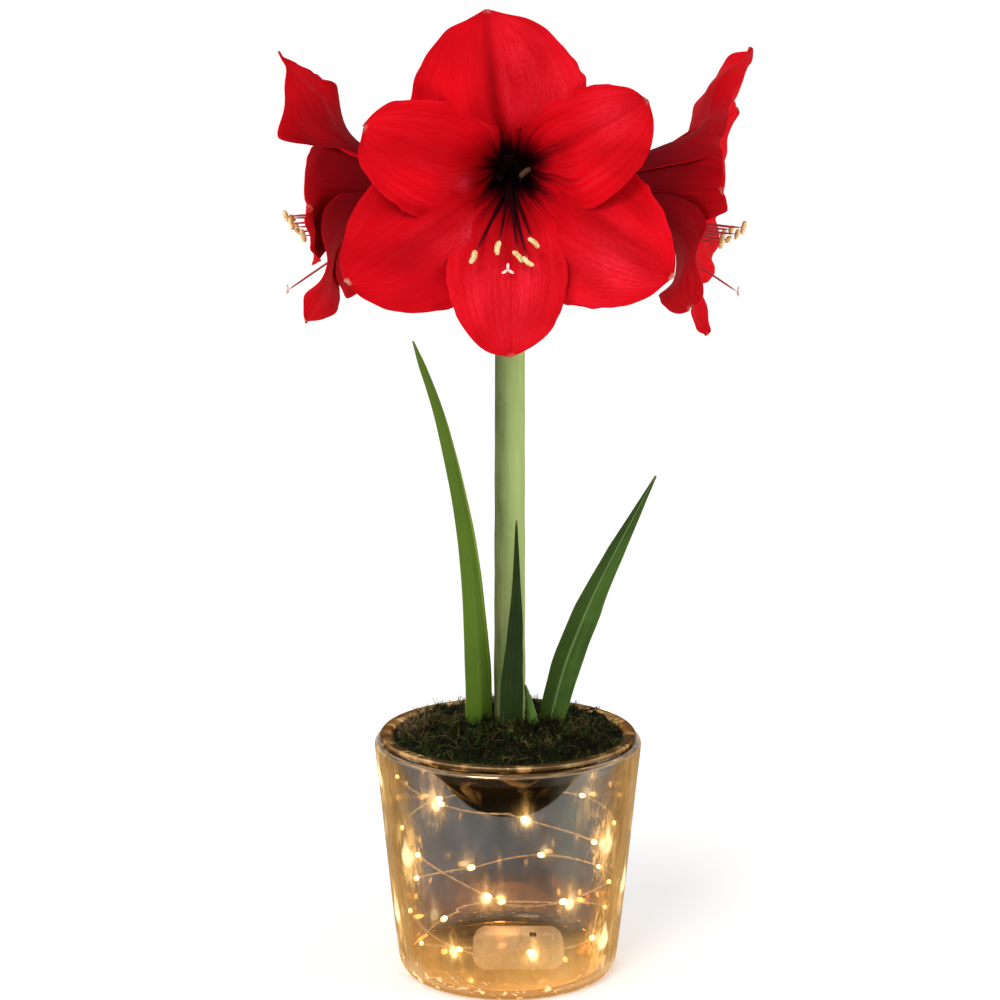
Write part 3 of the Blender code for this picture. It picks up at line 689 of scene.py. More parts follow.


# Each tepal's spots of painted sheen and of painted shade are given in its shape
BLOOMS = {
    "front": {"facing": 0.0, "height": 460.0, "tepals": (
        tepal(98, 83.5, 46, 45, crease=4.5, flare=64, phase=0.6, round=0.56, dark=46, twist=-5,
              pale=((0.70, -0.40, 0.28, 0.45, 0.7), (0.66, -0.09, 0.30, 0.07, 0.5)),
              dusk=((0.66, 0.06, 0.28, 0.07, 0.9), (0.44, 0.05, 0.14, 0.10, 1.1))),
        tepal(211, 95, 42, 38, phase=2.0, twist=6, dark=36, tip=0.6,
              pale=((0.62, 0.15, 0.14, 0.3, 0.4), (0.47, 0.34, 0.13, 0.20, 1.0)),
              dusk=((0.78, 0.10, 0.20, 0.75, 0.45), (0.50, -0.75, 0.22, 0.25, 0.7))),
        tepal(330, 92, 36, 42, phase=4.1, crease=4.5, dark=50, twist=-6, tip=0.6,
              pale=((0.78, -0.25, 0.16, 0.5, 0.8),), dusk=((0.62, 0.16, 0.22, 0.12, 0.6),)),
        petal(158, 77, 35, 28, phase=1.0, wave=3.4, waves=2.6, lean=2.0, round=0.40, dark=36, twist=8,
              pale=((0.42, 0.50, 0.13, 0.26, 1.1),),
              dusk=((0.72, -0.1, 0.2, 0.4, 0.25), (0.6, 0.9, 0.2, 0.12, 0.6))),
        petal(270, 84, 29, 33, phase=5.0, waves=2.2, flare=62, broadest=0.70, round=0.42, dark=50,
              pale=((0.78, 0.0, 0.30, 0.9, 0.7),)),
        petal(31, 77, 26, 34, phase=3.0, crease=2.6, dark=60, twist=-8, round=0.40,
              pale=((0.86, 0.1, 0.12, 0.6, 0.7),), dusk=((0.55, 0.12, 0.2, 0.12, 0.6),)))},
    "left": {"facing": -92.0, "height": 446.0, "tepals": (
        tepal(68, 78, 42, 36, flare=54, opens=32, twist=-22, crease=4.0, phase=2.4, length=128, broadest=0.42,
              growth=0.5, cup=0.004, wave=1.0, waves=1.3, round=0.95, flap=(0.70, 8.0, 3.0, -20)),
        tepal(186, 78, 40, 38, flare=88, opens=47, phase=2.6),
        tepal(303, 80, 32, 34, flare=84, opens=40, curl=-30, phase=4.4, wave=1.4, round=0.8),
        petal(126, 70, 30, 31, flare=84, opens=48, phase=1.4),
        petal(246, 66, 26, 24, flare=100, opens=36, phase=0.8, waves=2.2, wave=1.2),
        petal(-4, 68, 30, 38, flare=90, opens=46, phase=3.6))},
    "right": {"facing": 91.0, "height": 446.0, "tepals": (
        tepal(88, 76, 36, 38, flare=68, opens=53, curl=-12, crease=2.4, phase=1.3, cup=-0.003, twist=13,
              wave=1.0, round=0.38),
        tepal(226, 80, 34, 22, flare=94, opens=43, phase=3.6, twist=-25, wave=1.6),
        tepal(326, 76, 36, 38, flare=80, opens=58, phase=0.4, twist=11),
        petal(176, 72, 17, 30, flare=88, opens=53, phase=2.4, wave=1.6, twist=-12, flap=(0.62, 0.9, 0.45, 0)),
        petal(271, 79, 20, 18, flare=95, curl=-34, opens=44, phase=4.8, waves=2.2, wave=1.2, twist=11),
        petal(38, 68, 24, 26, flare=66, opens=55, phase=5.6))},
}

# Sideways place and height of each anther, how far out it stands, and its turn
STAMENS = {
    "front": ((-19.0, -37.5, 126, 70), (-6.5, -33.0, 125, 80), (3.5, -37.0, 128, 130), (8.5, -39.5, 129, 140),
              (11.5, -30.5, 124, 135), (7.5, 1.0, 76, 40)),
    "left": ((-11.0, -17.0, 121, 30), (-6.0, -21.5, 118, 150), (0.0, -15.0, 123, 60), (5.0, -23.0, 116, 20),
             (10.0, -18.0, 119, 110), (7.0, -25.0, 113, 80)),
    "right": ((-11.0, -20.0, 127, 80), (-6.5, -24.0, 124, 40), (0.0, -27.5, 120, 150), (5.0, -22.5, 122, 20),
              (10.0, -26.0, 118, 120), (-1.0, -29.0, 116, 70)),
}
STYLES = {"front": (-1.5, -44.0, 126), "left": (0.0, -56.0, 123), "right": (1.0, -57.0, 126)}


def to_bloom(name):
    """Where a bloom stands and how it is turned, for points in metres."""
    facing = Matrix.Rotation(math.radians(BLOOMS[name]["facing"]), 4, "Z")
    return Matrix.Translation((STEM_BASE[0] * MM, STEM_BASE[1] * MM, BLOOMS[name]["height"] * MM)) @ facing


def tepal_line(shape):
    """Distance out, radius and slope at each millimetre of a tepal's midrib, from the tube to its tip."""
    out = TEPAL_START
    ahead = PETAL_AHEAD if shape["inner"] else 0.0
    radius = TEPAL_BASE - (PETAL_INSET if shape["inner"] else 0.0)
    line = [(out, radius, math.radians(TUBE_SLOPE))]
    length = 0.0
    while radius < shape["reach"] and length < shape["length"]:
        opening = float(ease((length - shape["opens"] - ahead) / OPENING))
        slope = TUBE_SLOPE + (shape["flare"] - TUBE_SLOPE) * opening
        slope = math.radians(slope + shape["curl"] * float(ease((length - CURL_FROM) / CURLING)))
        out += math.cos(slope)
        radius += math.sin(slope)
        length += 1.0
        line.append((out, radius, slope))
    return np.array(line)


def tepal_form(shape, seed):
    """Gives the function that places a tepal's points."""
    line = tepal_line(shape)
    last = len(line) - 1
    angle = math.radians(shape["angle"])
    plain = [shape[key] for key in ("broadest", "growth", "round", "twist")]
    flap = shape["flap"] or plain

    def form(rows, share):
        side = 2 * share - 1
        up = 1 - (1 - rows) ** 1.25
        place = up * last
        out, radius, slope = (np.interp(place, np.arange(last + 1), line[:, column]) for column in range(3))
        to_flap = 0.5 - 0.5 * np.tanh(6 * side)
        broadest, growth, rounding, twist = (a + (b - a) * to_flap for a, b in zip(plain, flap))
        base = 0.92 * line[0, 1]
        reach = np.where(side > 0, shape["wide"], shape["narrow"])
        low_half = base + (reach - base) * ease(up / broadest) ** growth
        past = np.clip((up - broadest) / (1 - broadest), 0, 1)
        half = np.where(up < broadest, low_half, reach * (1 - past ** 1.5) ** rounding)
        opening = ease((place - FREE_FROM) / FREE_OVER)
        half = half * (1 - opening * (0.008 + 0.009 * swells(place + 400 * (side > 0), 11.0, seed + 3)))
        half = np.maximum(np.minimum(half, radius * (1.0 + 0.35 * opening)), 0.8)
        over = side * half
        bend = (1 - opening) * 0.92 / radius + opening * shape["cup"]
        bend = np.where(np.abs(bend) < 1e-5, 1e-5, bend)
        turn = bend * over
        sideways, drop = np.sin(turn) / bend, (1 - np.cos(turn)) / bend
        twist = np.radians(twist) * opening
        out = out + sideways * np.sin(twist)
        sideways = sideways * np.cos(twist)
        crease = shape["crease"] * opening * np.exp(-(np.abs(over) / 5.5) ** 1.25) * (1 - 0.45 * up)
        ripple = shape["wave"] * opening * side ** 2
        ripple = ripple * np.sin(TAU * shape["waves"] * up + shape["phase"] + np.where(side > 0, 1.7, 0.0))
        edge = np.clip(np.abs(side) - FRILL_FROM, 0, 1) / (1 - FRILL_FROM)
        frill = 0.6 * opening * edge ** 2 * swells(place + 300 * (side > 0), 15.0, seed)
        pillow = 1.9 * opening * swells(np.stack((place, over * 1.6), axis=1), 40.0, seed + 1)
        vein = ease(place / 25) * (0.13 * swells(side * 11, 1.0, seed + 2) * (1 - 0.6 * up)
                                   + 0.10 * swells(np.stack((side * 9, place * 0.05), axis=1), 1.0, seed + 4))
        lift = ripple - crease + frill + pillow + vein
        tip = 1.6 * np.exp(-((1 - up) / 0.03) ** 2) * np.exp(-(over / 2.5) ** 2)
        out = out + drop * np.sin(slope * opening) + (lift - tip) * np.sin(slope)
        radius = radius - drop * np.cos(slope * opening) - (lift - tip) * np.cos(slope)
        sideways = sideways + shape["lean"] * up * up
        points = np.stack((radius * math.cos(angle) - sideways * math.sin(angle), -out,
                           radius * math.sin(angle) + sideways * math.cos(angle)), axis=1)
        values = {"depth": place, "up": up, "over": over, "seed": seed * 0.37 % 10, "dark": shape["dark"],
                  "fold": lift, "tip": shape["tip"], "edge": 1 - 0.75 * np.abs(side) ** 3 * opening}
        # Spots of painted sheen and of painted shade, kept at each point for the material
        for tone in ("pale", "dusk"):
            values[tone] = sum(strength * np.exp(-((up - high) / long) ** 2 - ((side - aside) / broad) ** 2)
                               for high, aside, long, broad, strength in shape[tone])
        return points, values
    return form


def stamen_route(start, end, count, rise):
    """Declined line from the throat to its end, which flattens on the way."""
    t = np.linspace(0, 1, count)
    fall = (1 + rise) * t - rise * t ** 3
    start, end = np.array(start), np.array(end)
    return np.stack((start[0] + (end[0] - start[0]) * t, -(start[1] + (end[1] - start[1]) * t),
                     start[2] + (end[2] - start[2]) * fall), axis=1)


def petal_finish(name, look, back):
    """Velvety petal: fine veins along it, a dark throat with streaks, and a darker outer side, both partly
    painted shade; painted shade in its folds and darker spots, and painted sheen in its lighter ones.
    """
    finish, start = new_finish(name)
    depth, over, seed, across, up = start.values("depth", "over", "seed", "across", "up")
    pale, dusk, dark, fold, tip = start.values("pale", "dusk", "dark", "fold", "tip")
    aside = abs(over)
    lines = start.vector(across * 30, up * 2.2, seed).noise(1.0, 3.0, 0.6, 0.35)
    fine = start.vector(across * 95, up * 4.0, seed).noise(1.0, 3.0, 0.65)
    crepe = start.vector(across * 60, up * 46, seed).noise(1.0, 2.0, 0.6, 0.8)
    broad = start.vector(over * 0.045, depth * 0.03, seed).noise()
    streaks = start.vector(across * 17, up * 1.1, seed).noise(1.0, 3.0, 0.7)
    velvet = start.place().noise(2600, 2.0, 0.6)
    pink = (lines.between(0.46, 0.72) + fine.between(0.48, 0.75)) * 0.26 + velvet.between(0.5, 0.8) * 0.14
    # Painted sheen: lighter, pinker spots of the tepal where light falls
    pink = pink * (0.40 + broad * 0.7) + pale * (0.15 + crepe.between(0.35, 0.65) * 0.65 + fine * 0.25)
    # Darker in the hollows of the tepal's folds, by its relief: painted shade; darker also in broad random
    # patches and between the veins
    shade = (1 - fold.between(-2.6, 2.4)) * 0.5 + (1 - broad.between(0.3, 0.6)) * 0.26
    shade = shade + (1 - lines.between(0.28, 0.5)) * 0.24
    # Darker along the midrib, in its crease: painted shade
    rib = (aside / 0.9).falling(0.2, 1.6) * depth.between(40, 70)
    colour = start.layers(
        look.red, (pink, look.pink), (shade, look.deep),
        # Within the spots of painted sheen, darker grain, and a lighter pink where they are strongest
        (pale * (1 - fine.between(0.36, 0.5)) * 0.55, look.deep),
        (pale.between(0.75, 1.25) * crepe.between(0.30, 0.60) * 0.8, (0.85, 0.050, 0.080)),
        # Painted shade: darker spots under overlapping tepals, in folds and where a tepal turns from the
        # light
        (dusk * (0.70 + lines * 0.5), (0.30, 0.0015, 0.004)), (rib * 0.35, look.deep))
    if back:
        # Outer side dark wine towards the tube: partly the flower's own colour, partly painted shade near the
        # tube
        wine = (depth + streaks * 26 - 13).falling(38, 112)
        colour = start.layers(colour, (wine * 0.93, (0.090, 0.0022, 0.0045)),
                              (depth.falling(1.5, 12) * 0.5, (0.10, 0.035, 0.012)))
    else:
        # Dark throat with streaks, reaching further along the midrib's cleft: partly the flower's own dark
        # colour, partly painted shade deep in the throat
        middle = aside.falling(0.4, 4.5)
        deep = depth / (dark * (0.50 + streaks.between(0.32, 0.68) * 0.75 + middle * 0.40))
        wine = tuple(0.5 * a + 0.5 * b for a, b in zip(look.throat, (0.16, 0.003, 0.010)))
        colour = start.layers(colour, (1 - deep.between(0.30, 1.35), wine),
                              (1 - deep.between(0.25, 0.75), look.throat))
    end = up.between(0.984, 0.998) * aside.falling(0.8, 2.6) * tip
    height = lines * 0.55 + fine * 0.30 + crepe * 0.16
    return dress(finish, Base_Color=end.mix(colour, (0.82, 0.55, 0.40)), Roughness=0.50 + fine * 0.22,
                 Normal=height.bump(0.6, 0.0006, velvet.bump(0.2, 0.00014)), IOR=1.2, Specular_IOR_Level=0.08,
                 Sheen_Weight=0.03, Sheen_Roughness=0.5, Sheen_Tint=(1.0, 0.12, 0.20))


def filament_finish():
    """Filaments and styles: wine in the throat and pink at the end, and redder on the side blooms: painted
    light, where light falls on them.
    """
    finish, start = new_finish("filament_red")
    up, lit = start.values("up", "lit")
    grain = start.place().noise(900)
    colour = (up + grain * 0.06).ramp((0.0, (0.010, 0.002, 0.004)), (0.72, (0.030, 0.002, 0.006)),
                                      (0.90, (0.15, 0.004, 0.010)), (0.97, (0.55, 0.02, 0.03)),
                                      (1.0, (0.80, 0.16, 0.14)))
    # Painted light: the side blooms' threads redder where light falls on them
    colour = (lit * up.between(0.45, 0.75)).mix(colour, (0.40, 0.012, 0.020))
    return dress(finish, Base_Color=colour, Roughness=0.38 + grain * 0.1, Normal=grain.bump(0.2, 0.0001))


def pollen_finish(look):
    """Grainy anthers with a darker slit, and painted shade on an anther deep in the throat."""
    finish, start = new_finish("pollen_yellow")
    clumps = start.place().noise(420, 3.0)
    slit = (start.value("across") * 2).maths("PINGPONG", 1.0).between(0.9, 1.0)
    colour = start.layers(
        clumps.ramp((0.3, (0.62, 0.40, 0.12)), (0.5, look.pollen), (0.75, (0.92, 0.80, 0.48))),
        (slit * 0.6, (0.45, 0.38, 0.16)), (start.value("unripe") * 0.93, (0.045, 0.022, 0.008)))
    grains = start.place().cells(3200)
    return dress(finish, Base_Color=colour, Roughness=0.85, Normal=grains.bump(0.5, 0.0002))


def tube_finish():
    """The closed foot of the bloom, green at the ovary and wine towards the tepals."""
    finish, start = new_finish("bloom_tube")
    up, across = start.values("up", "across")
    ribs = start.vector(across * 36, up * 2, 0.0).noise()
    colour = up.ramp((0.0, (0.16, 0.20, 0.05)), (0.25, (0.17, 0.08, 0.03)), (0.6, (0.16, 0.012, 0.014)),
                     (0.75, (0.02, 0.002, 0.004)), (1.0, (0.008, 0.001, 0.003)))
    return dress(finish, Base_Color=colour, Roughness=0.45, Normal=ribs.bump(0.4, 0.0004))


class AMARYLLIS_OT_blooms(bpy.types.Operator):
    """Grow three blooms of six tepals each, with their stamens and styles"""
    bl_idname = "amaryllis.blooms"
    bl_label = "Blooms"

    def execute(self, context):
        look = settings().bloom
        sides = petal_finish("petal_inside", look, False), petal_finish("petal_outside", look, True)
        stigma = grainy("stigma_white", (2400, 3.0), ((0.3, (0.82, 0.45, 0.42)), (0.6, (0.95, 0.84, 0.78))),
                        (0.5, 0.0001), 0.6, Subsurface_Weight=0.1, Subsurface_Scale=0.001)
        finishes, foot = (filament_finish(), pollen_finish(look), stigma), tube_finish()
        for number, name in enumerate(BLOOMS):
            self.grow_tepals(name, number, look, sides)
            self.grow_stamens(name, finishes)
            self.grow_foot(name, foot)
        return {"FINISHED"}

    def grow_tepals(self, name, number, look, sides):
        for index, shape in enumerate(BLOOMS[name]["tepals"]):
            whorl = "petal" if shape["inner"] else "sepal"
            form = tepal_form(shape, 20 + 10 * number + index)
            piece = shaped_grid(f"{name}_{whorl}_{index % 3 + 1}", look.rows, look.columns, form)
            edit(piece, ("flip_normals", {}))
            for side in sides:
                piece.data.materials.append(side)
            wall(piece, look.thickness / MM, "edge", 1)
            piece.data.transform(to_bloom(name))
            slots = [polygon.material_index for polygon in piece.data.polygons]
            settle(piece, sides, (f"bloom_{name}",))
            piece.data.polygons.foreach_set("material_index", slots)

    def grow_thread(self, start, end, rise, thick, count):
        """A filament or a style, and the line up its middle."""
        route = stamen_route(start, end, count, rise)
        return tube("thread", route, rounded_ends(np.linspace(*thick, count)), 8), route

    def grow_stamens(self, name, finishes):
        front = name == "front"
        threads, anthers, lobes = [], [], []
        for index, (x, z, out, turn) in enumerate(STAMENS[name]):
            spread = TAU * index / 6
            root = (2.8 * math.cos(spread), THREAD_START, 2.8 * math.sin(spread))
            thread, route = self.grow_thread(root, (x, out, z), 0.05 if front else 0.45, FILAMENT_RADII, 24)
            threads.append(thread)
            turn = math.radians(turn)
            lie = np.array((math.cos(turn), -0.25, math.sin(turn)))
            lie *= ANTHER_HALF_LENGTH / np.linalg.norm(lie)
            t = np.linspace(-1, 1, 19)
            bow = np.cross(lie, (0, -1, 0)) * 0.22
            line = route[-1] + lie * t[:, None] + bow * (t[:, None] ** 2 - 0.4) * (1 if index % 2 else -1)
            fat = ANTHER_HALF_WIDTH * np.sqrt(np.clip(1 - t ** 4, 0, 1)) * (1 + 0.08 * np.sin(t * 13 + index))
            anthers.append(tube("anther", line, fat, 14, lambda _, angle: 1 - 0.22 * abs(np.cos(angle)) ** 6))
            # An anther deep in the throat gets painted shade
            note(anthers[-1], "unripe", float(out < 90))
        x, z, out = STYLES[name]
        rise = 0.45 if front else 0.0
        style, route = self.grow_thread((0, THREAD_START, -0.5), (x, out, z), rise, STYLE_RADII, 26)
        threads.append(style)
        for lobe in range(3):
            turn = math.radians(90 + 120 * lobe)
            t = np.linspace(0, 1, 9)[:, None]
            end = np.array((LOBE_LENGTH * math.cos(turn), -1.3, LOBE_LENGTH * math.sin(turn)))
            line = route[-1] + np.array((0, 0.4, 0)) + end * t + np.array((0, 0.9, 0)) * t ** 2
            lobes.append(tube("lobe", line, rounded_ends([0.75] * 9), 8))
        for label, made, slot, finish in zip(("filaments", "anthers", "stigma"), (threads, anthers, lobes),
                                             ("petal_red", None, None), finishes):
            piece = joined(f"{name}_{label}", made)
            # Marks the side blooms' threads for their painted light
            note(piece, "lit", float(not front))
            piece.data.transform(to_bloom(name))
            settle(piece, (finish,), (f"bloom_{name}",))

    def grow_foot(self, name, finish):
        foot = ((0.0, TUBE_START), (4.9, TUBE_START + 0.2), (5.15, 31), (6.2, 35), (7.6, TEPAL_START),
                (8.7, 41.5), (9.7, TUBE_END), (8.9, TUBE_END), (5.0, 42.5), (2.0, 41.0), (0.0, 41.0))
        piece = turned(f"{name}_tube", foot, 48, lambda up, turn: 1 + 0.03 * np.cos(6 * turn) * (up < 0.65))
        piece.data.transform(to_bloom(name) @ Matrix.Rotation(math.radians(90), 4, "X"))
        settle(piece, (finish,), (f"bloom_{name}",))


# Leaves: a route up the middle, the widths along it, the turn of the blade and the depth of its channel

LEAVES = {
    "leaf_left": {"route": ((-16.0, -5.0, 137.1), (-17.0, -7.7, 183), (-22.9, -11.1, 252),
                            (-36.4, -14.6, 318), (-52.0, -18.0, 365)),
                  "widths": ((0, 17.5), (0.25, 16), (0.5, 11), (0.75, 6.6), (0.92, 4), (1, 0.9)),
                  "turn": 24.0, "channel": 0.9, "fold": 0.62, "light": (0.088, 0.160, 0.012),
                  "dark": (0.064, 0.118, 0.010), "strip": (0.21, 0.33, 0.035), "rib": 0.03},
    "leaf_middle": {"route": ((1.4, -12.6, 137.1), (2.2, -13.0, 172), (4.4, -13.2, 212), (4.6, -13.5, 264)),
                    "widths": ((0, 13.5), (0.3, 13.2), (0.6, 8.5), (0.8, 4.2), (1, 0.9)),
                    "turn": 8.0, "channel": 0.5, "fold": 2.0, "light": (0.022, 0.044, 0.007),
                    "dark": (0.008, 0.018, 0.004), "strip": (0.035, 0.08, 0.008), "rib": 0.0},
    "leaf_right": {"route": ((22.5, -1.0, 137.1), (32.0, 1.6, 174), (43.2, 4.2, 204), (56.4, 6.8, 233),
                             (83.2, 12.0, 284.5)),
                   "widths": ((0, 13.5), (0.25, 17), (0.55, 15.5), (0.8, 10), (1, 0.9)),
                   "turn": -12.0, "channel": 1.6, "fold": 2.0, "light": (0.066, 0.140, 0.016),
                   "dark": (0.020, 0.042, 0.006), "strip": (0.15, 0.26, 0.05), "rib": 0.5},
    "leaf_short": {"route": ((14.6, -7.8, 137.1), (13.6, -7.8, 150), (9.8, -8.6, 168.5)),
                   "widths": ((0, 8.5), (0.4, 8), (0.75, 4.5), (1, 1)),
                   "turn": -34.0, "channel": 1.0, "fold": 2.0, "light": (0.13, 0.24, 0.045),
                   "dark": (0.05, 0.10, 0.02), "strip": (0.20, 0.32, 0.06), "rib": 0.4},
}


def leaf_form(leaf, seed):
    """Gives the function that places a strap leaf's points."""
    turn = math.radians(leaf["turn"])
    sideways = np.array((math.cos(turn), math.sin(turn), 0))

    def form(up, share):
        side = 2 * share - 1
        centre = along(leaf["route"], up)
        ahead = unit(along(leaf["route"], np.minimum(1, up + 0.01))
                     - along(leaf["route"], np.maximum(0, up - 0.01)))
        across = unit(sideways - ahead * (ahead @ sideways)[:, None])
        facing = np.cross(ahead, across)
        half = table(leaf["widths"], up) / 2
        half = half * (1 + 0.012 * swells(up * 60 + 90 * (side > 0), 9.0, seed))
        fold = leaf["channel"] * half / 4 * np.clip(1 - np.abs(side), 0, 1) ** 1.3
        past = np.clip(side - leaf["fold"], 0, 1)
        ridges = 0.05 * np.sin(side * half * TAU / 1.15) * (1 - 0.8 * np.abs(side))
        sway = 0.25 * swells(up * 40, 13.0, seed + 1) * side
        lift = fold + ridges + sway - past * half * 0.5 * ease((1 - up) / 0.15)
        points = centre + across * (side * half)[:, None] - facing * lift[:, None]
        thick = np.clip(1 - side ** 2 * 0.9, 0, 1) * (1 - 0.6 * up)
        return points, {"over": side * half, "side": side, "thick": thick}
    return form


def leaf_finish(name, leaf):
    """Waxy strap leaf with fine parallel veins, a midrib and a dry tip; a painted highlight on the left
    leaf's turned-up margin and painted shade on the right leaf's left half.
    """
    finish, start = new_finish(name + "_green")
    up, over, side = start.values("up", "over", "side")
    aside = abs(side)
    veins = start.vector(over * 1.5, up * 2.0, 0.0).noise(1.0, 3.0, 0.65)
    hairline = (over * 5.6).maths("SINE").between(-1, 1)
    clouds, flecks = start.place().noise(38, 3.0), start.place().noise(300)
    light = veins.between(0.3, 0.7) * 0.6 + clouds.between(0.35, 0.65) * 0.4
    colour = start.layers(leaf["dark"], (light, leaf["light"]), (hairline * 0.07, leaf["strip"]))
    # Painted highlight: a lighter strip where the leaf's margin turns up towards the light
    if leaf["fold"] < 1:
        strip = side.between(leaf["fold"] - 0.03, leaf["fold"] + 0.05) * up.between(0.55, 0.9, 1.0, 0.15)
        colour = strip.mix(colour, leaf["strip"])
    # Painted shade: the right leaf's left half darker, as it turns from the light
    if name == "leaf_right":
        colour = side.between(-0.15, 0.2, 0.62, 0.0).mix(colour, leaf["dark"])
    colour = start.layers(
        colour, (aside.falling(0.015, 0.06) * leaf["rib"], (0.17, 0.27, 0.085)),
        (aside.between(0.93, 1.0) * 0.35, (0.22, 0.33, 0.06)),
        (up.between(0.0, 0.07, 0.55, 0.0), (0.28, 0.36, 0.12)), (up.between(0.975, 1.0), (0.18, 0.12, 0.05)))
    normal = (veins * 0.5 + hairline * 0.25).bump(0.25, 0.0004, flecks.bump(0.06, 0.0002))
    return dress(finish, Base_Color=colour, Roughness=0.36 + veins * 0.16 + clouds * 0.06, Normal=normal,
                 IOR=1.42, Specular_IOR_Level=0.2)


class AMARYLLIS_OT_leaves(bpy.types.Operator):
    """Grow the four strap leaves"""
    bl_idname = "amaryllis.leaves"
    bl_label = "Leaves"

    def execute(self, context):
        thickness = settings().green.leaf_thickness / MM
        for number, (name, leaf) in enumerate(LEAVES.items()):
            rows = 40 if name == "leaf_short" else 150
            piece = shaped_grid(name + "_blade", rows, 40, leaf_form(leaf, 60 + number))
            wall(piece, thickness, "thick")
            settle(piece, (leaf_finish(name, leaf),), (name,))
        return {"FINISHED"}


# Flower stem, its stalks and ovaries, and the bracts

def stem_finish(look):
    """Hollow-looking fleshy stem: a whitish-green bloom over green, lengthwise ribs and faint wine marks, and
    painted light that makes it lighter towards its right side.
    """
    finish, start = new_finish("stem_green")
    place = start.place()
    x, height = place.part("X") * 1000, place.part("Z") * 1000
    streaks = place.stretched(700, 22).noise(1.0, 3.0, 0.6)
    clouds = place.stretched(60, 16).noise(1.0, 3.0, 0.6)
    bloom = place.noise(190, 4.0, 0.6)
    # Painted light: the stem lighter towards its right side, as if lit from there
    lit = x.between(-7.5, 7.0) * 0.72 + streaks.between(0.25, 0.75) * 0.10 + clouds.between(0.3, 0.7) * 0.18
    low = height.between(150, 330, 0.5, 0.0) * clouds.between(0.42, 0.6)
    colour = start.layers(look.stem_dark, (lit, look.stem_light),
                          (bloom.between(0.5, 0.75) * 0.10, (0.40, 0.50, 0.27)),
                          (low * 0.7, (0.17, 0.12, 0.05)))
    return dress(finish, Base_Color=colour, Roughness=0.46 + bloom * 0.14, IOR=1.42, Specular_IOR_Level=0.25,
                 Normal=streaks.bump(0.25, 0.0006, bloom.bump(0.1, 0.0003)), Subsurface_Weight=0.05,
                 Subsurface_Radius=(0.5, 1.0, 0.2), Subsurface_Scale=0.002)


def bract_finish(look):
    """Dry papery bract with brown veins."""
    finish, start = new_finish("dry_bract")
    up, across = start.values("up", "across")
    veins = start.vector(across * 26, up * 2.4, 0.0).noise(1.0, 3.0, 0.6)
    colour = veins.ramp((0.3, (0.24, 0.12, 0.05)), (0.5, look.bract), (0.7, (0.62, 0.45, 0.26)))
    colour = (start.place().noise(160, 3.0).between(0.5, 0.7) * 0.5).mix(colour, (0.20, 0.09, 0.05))
    return dress(finish, Base_Color=colour, Roughness=0.7, Normal=veins.bump(0.6, 0.0005))


class AMARYLLIS_OT_stem(bpy.types.Operator):
    """Grow the flower stem with its three stalks, and the dry bracts"""
    bl_idname = "amaryllis.stem"
    bl_label = "Flower stem"

    def execute(self, context):
        look = settings().green
        x, y = STEM_BASE
        heights = np.concatenate((np.linspace(STEM_LINE[0][0], STEM_TOP - 8, 150),
                                  np.linspace(STEM_TOP - 7, STEM_TOP, 12)))
        radii = table(STEM_LINE, heights) + 0.10 * swells(heights, 46.0, 81)
        radii[[0, -1]] = 0.0
        heights[[1, -2]] = heights[[0, -1]]
        radii[-2] = 5.4
        route = np.stack((np.full(len(heights), x), np.full(len(heights), y), heights), axis=1)
        ribs = lambda _, turn: 1 + 0.006 * np.sin(turn * 17) + 0.012 * np.sin(turn * 2 + 1)
        parts = [tube("flower_stem", route, radii, 72, ribs)]
        parts += [self.grow_stalk(bloom) for bloom in BLOOMS.values()]
        settle(joined("scape", parts), (stem_finish(look),), ("flower_stem",))
        self.grow_bracts(look)
        return {"FINISHED"}

    def grow_stalk(self, bloom):
        turn = math.radians(bloom["facing"])
        outward = np.array((math.sin(turn), -math.cos(turn), 0))
        foot = np.array((*STEM_BASE, STEM_TOP - 6.0))
        rise = bloom["height"] - foot[2]
        steps = ((2.0, 0.0), (5.0, 9.0), (8.5, rise - 9), (13.0, rise - 3), (19.0, rise - 0.4), (24.0, rise),
                 (TUBE_START + 0.4, rise))
        route = [foot + outward * out + np.array((0, 0, up)) for out, up in steps]
        share = np.linspace(0, 1, 54)
        radii = np.interp(share, np.linspace(0, 1, 7), (3.4, 3.6, 3.6, 4.2, 5.5, 5.6, 4.9))
        lobes = lambda up, turned: 1 + 0.07 * np.cos(3 * turned) * ease((up - 0.55) / 0.2)
        return tube("stalk", along(route, share), rounded_ends(radii, 3), 30, lobes)

    def grow_bracts(self, look):
        finish = bract_finish(look)
        for number, (name, degrees) in enumerate((("spathe_left", 168), ("spathe_right", 12))):
            def shape(up, share):
                side = 2 * share - 1
                half = 7.5 * (1 - 0.92 * up) ** 0.8 + 0.5
                away = BRACT_HUG + 9 * up ** 1.3
                bend = (1 - 0.6 * up) / BRACT_HUG
                sideways = np.sin(side * half * bend) / bend
                back = (1 - np.cos(side * half * bend)) / bend
                crumple = 0.6 * np.sin(9 * up + 2 * side) * up
                crumple += 0.35 * up * swells(np.stack((up * 36, side * half), axis=1), 7.0, 90 + number)
                return np.stack((away - back + crumple, sideways, BRACT_FOOT - 36 * up), axis=1)

            piece = shaped_grid(name + "_skin", 60, 24, shape)
            wall(piece, 0.35)
            turn = Matrix.Rotation(math.radians(degrees), 4, "Z")
            piece.data.transform(Matrix.Translation((STEM_BASE[0] * MM, STEM_BASE[1] * MM, 0)) @ turn)
            settle(piece, (finish,), (name,))


# Moss and what lies on the soil

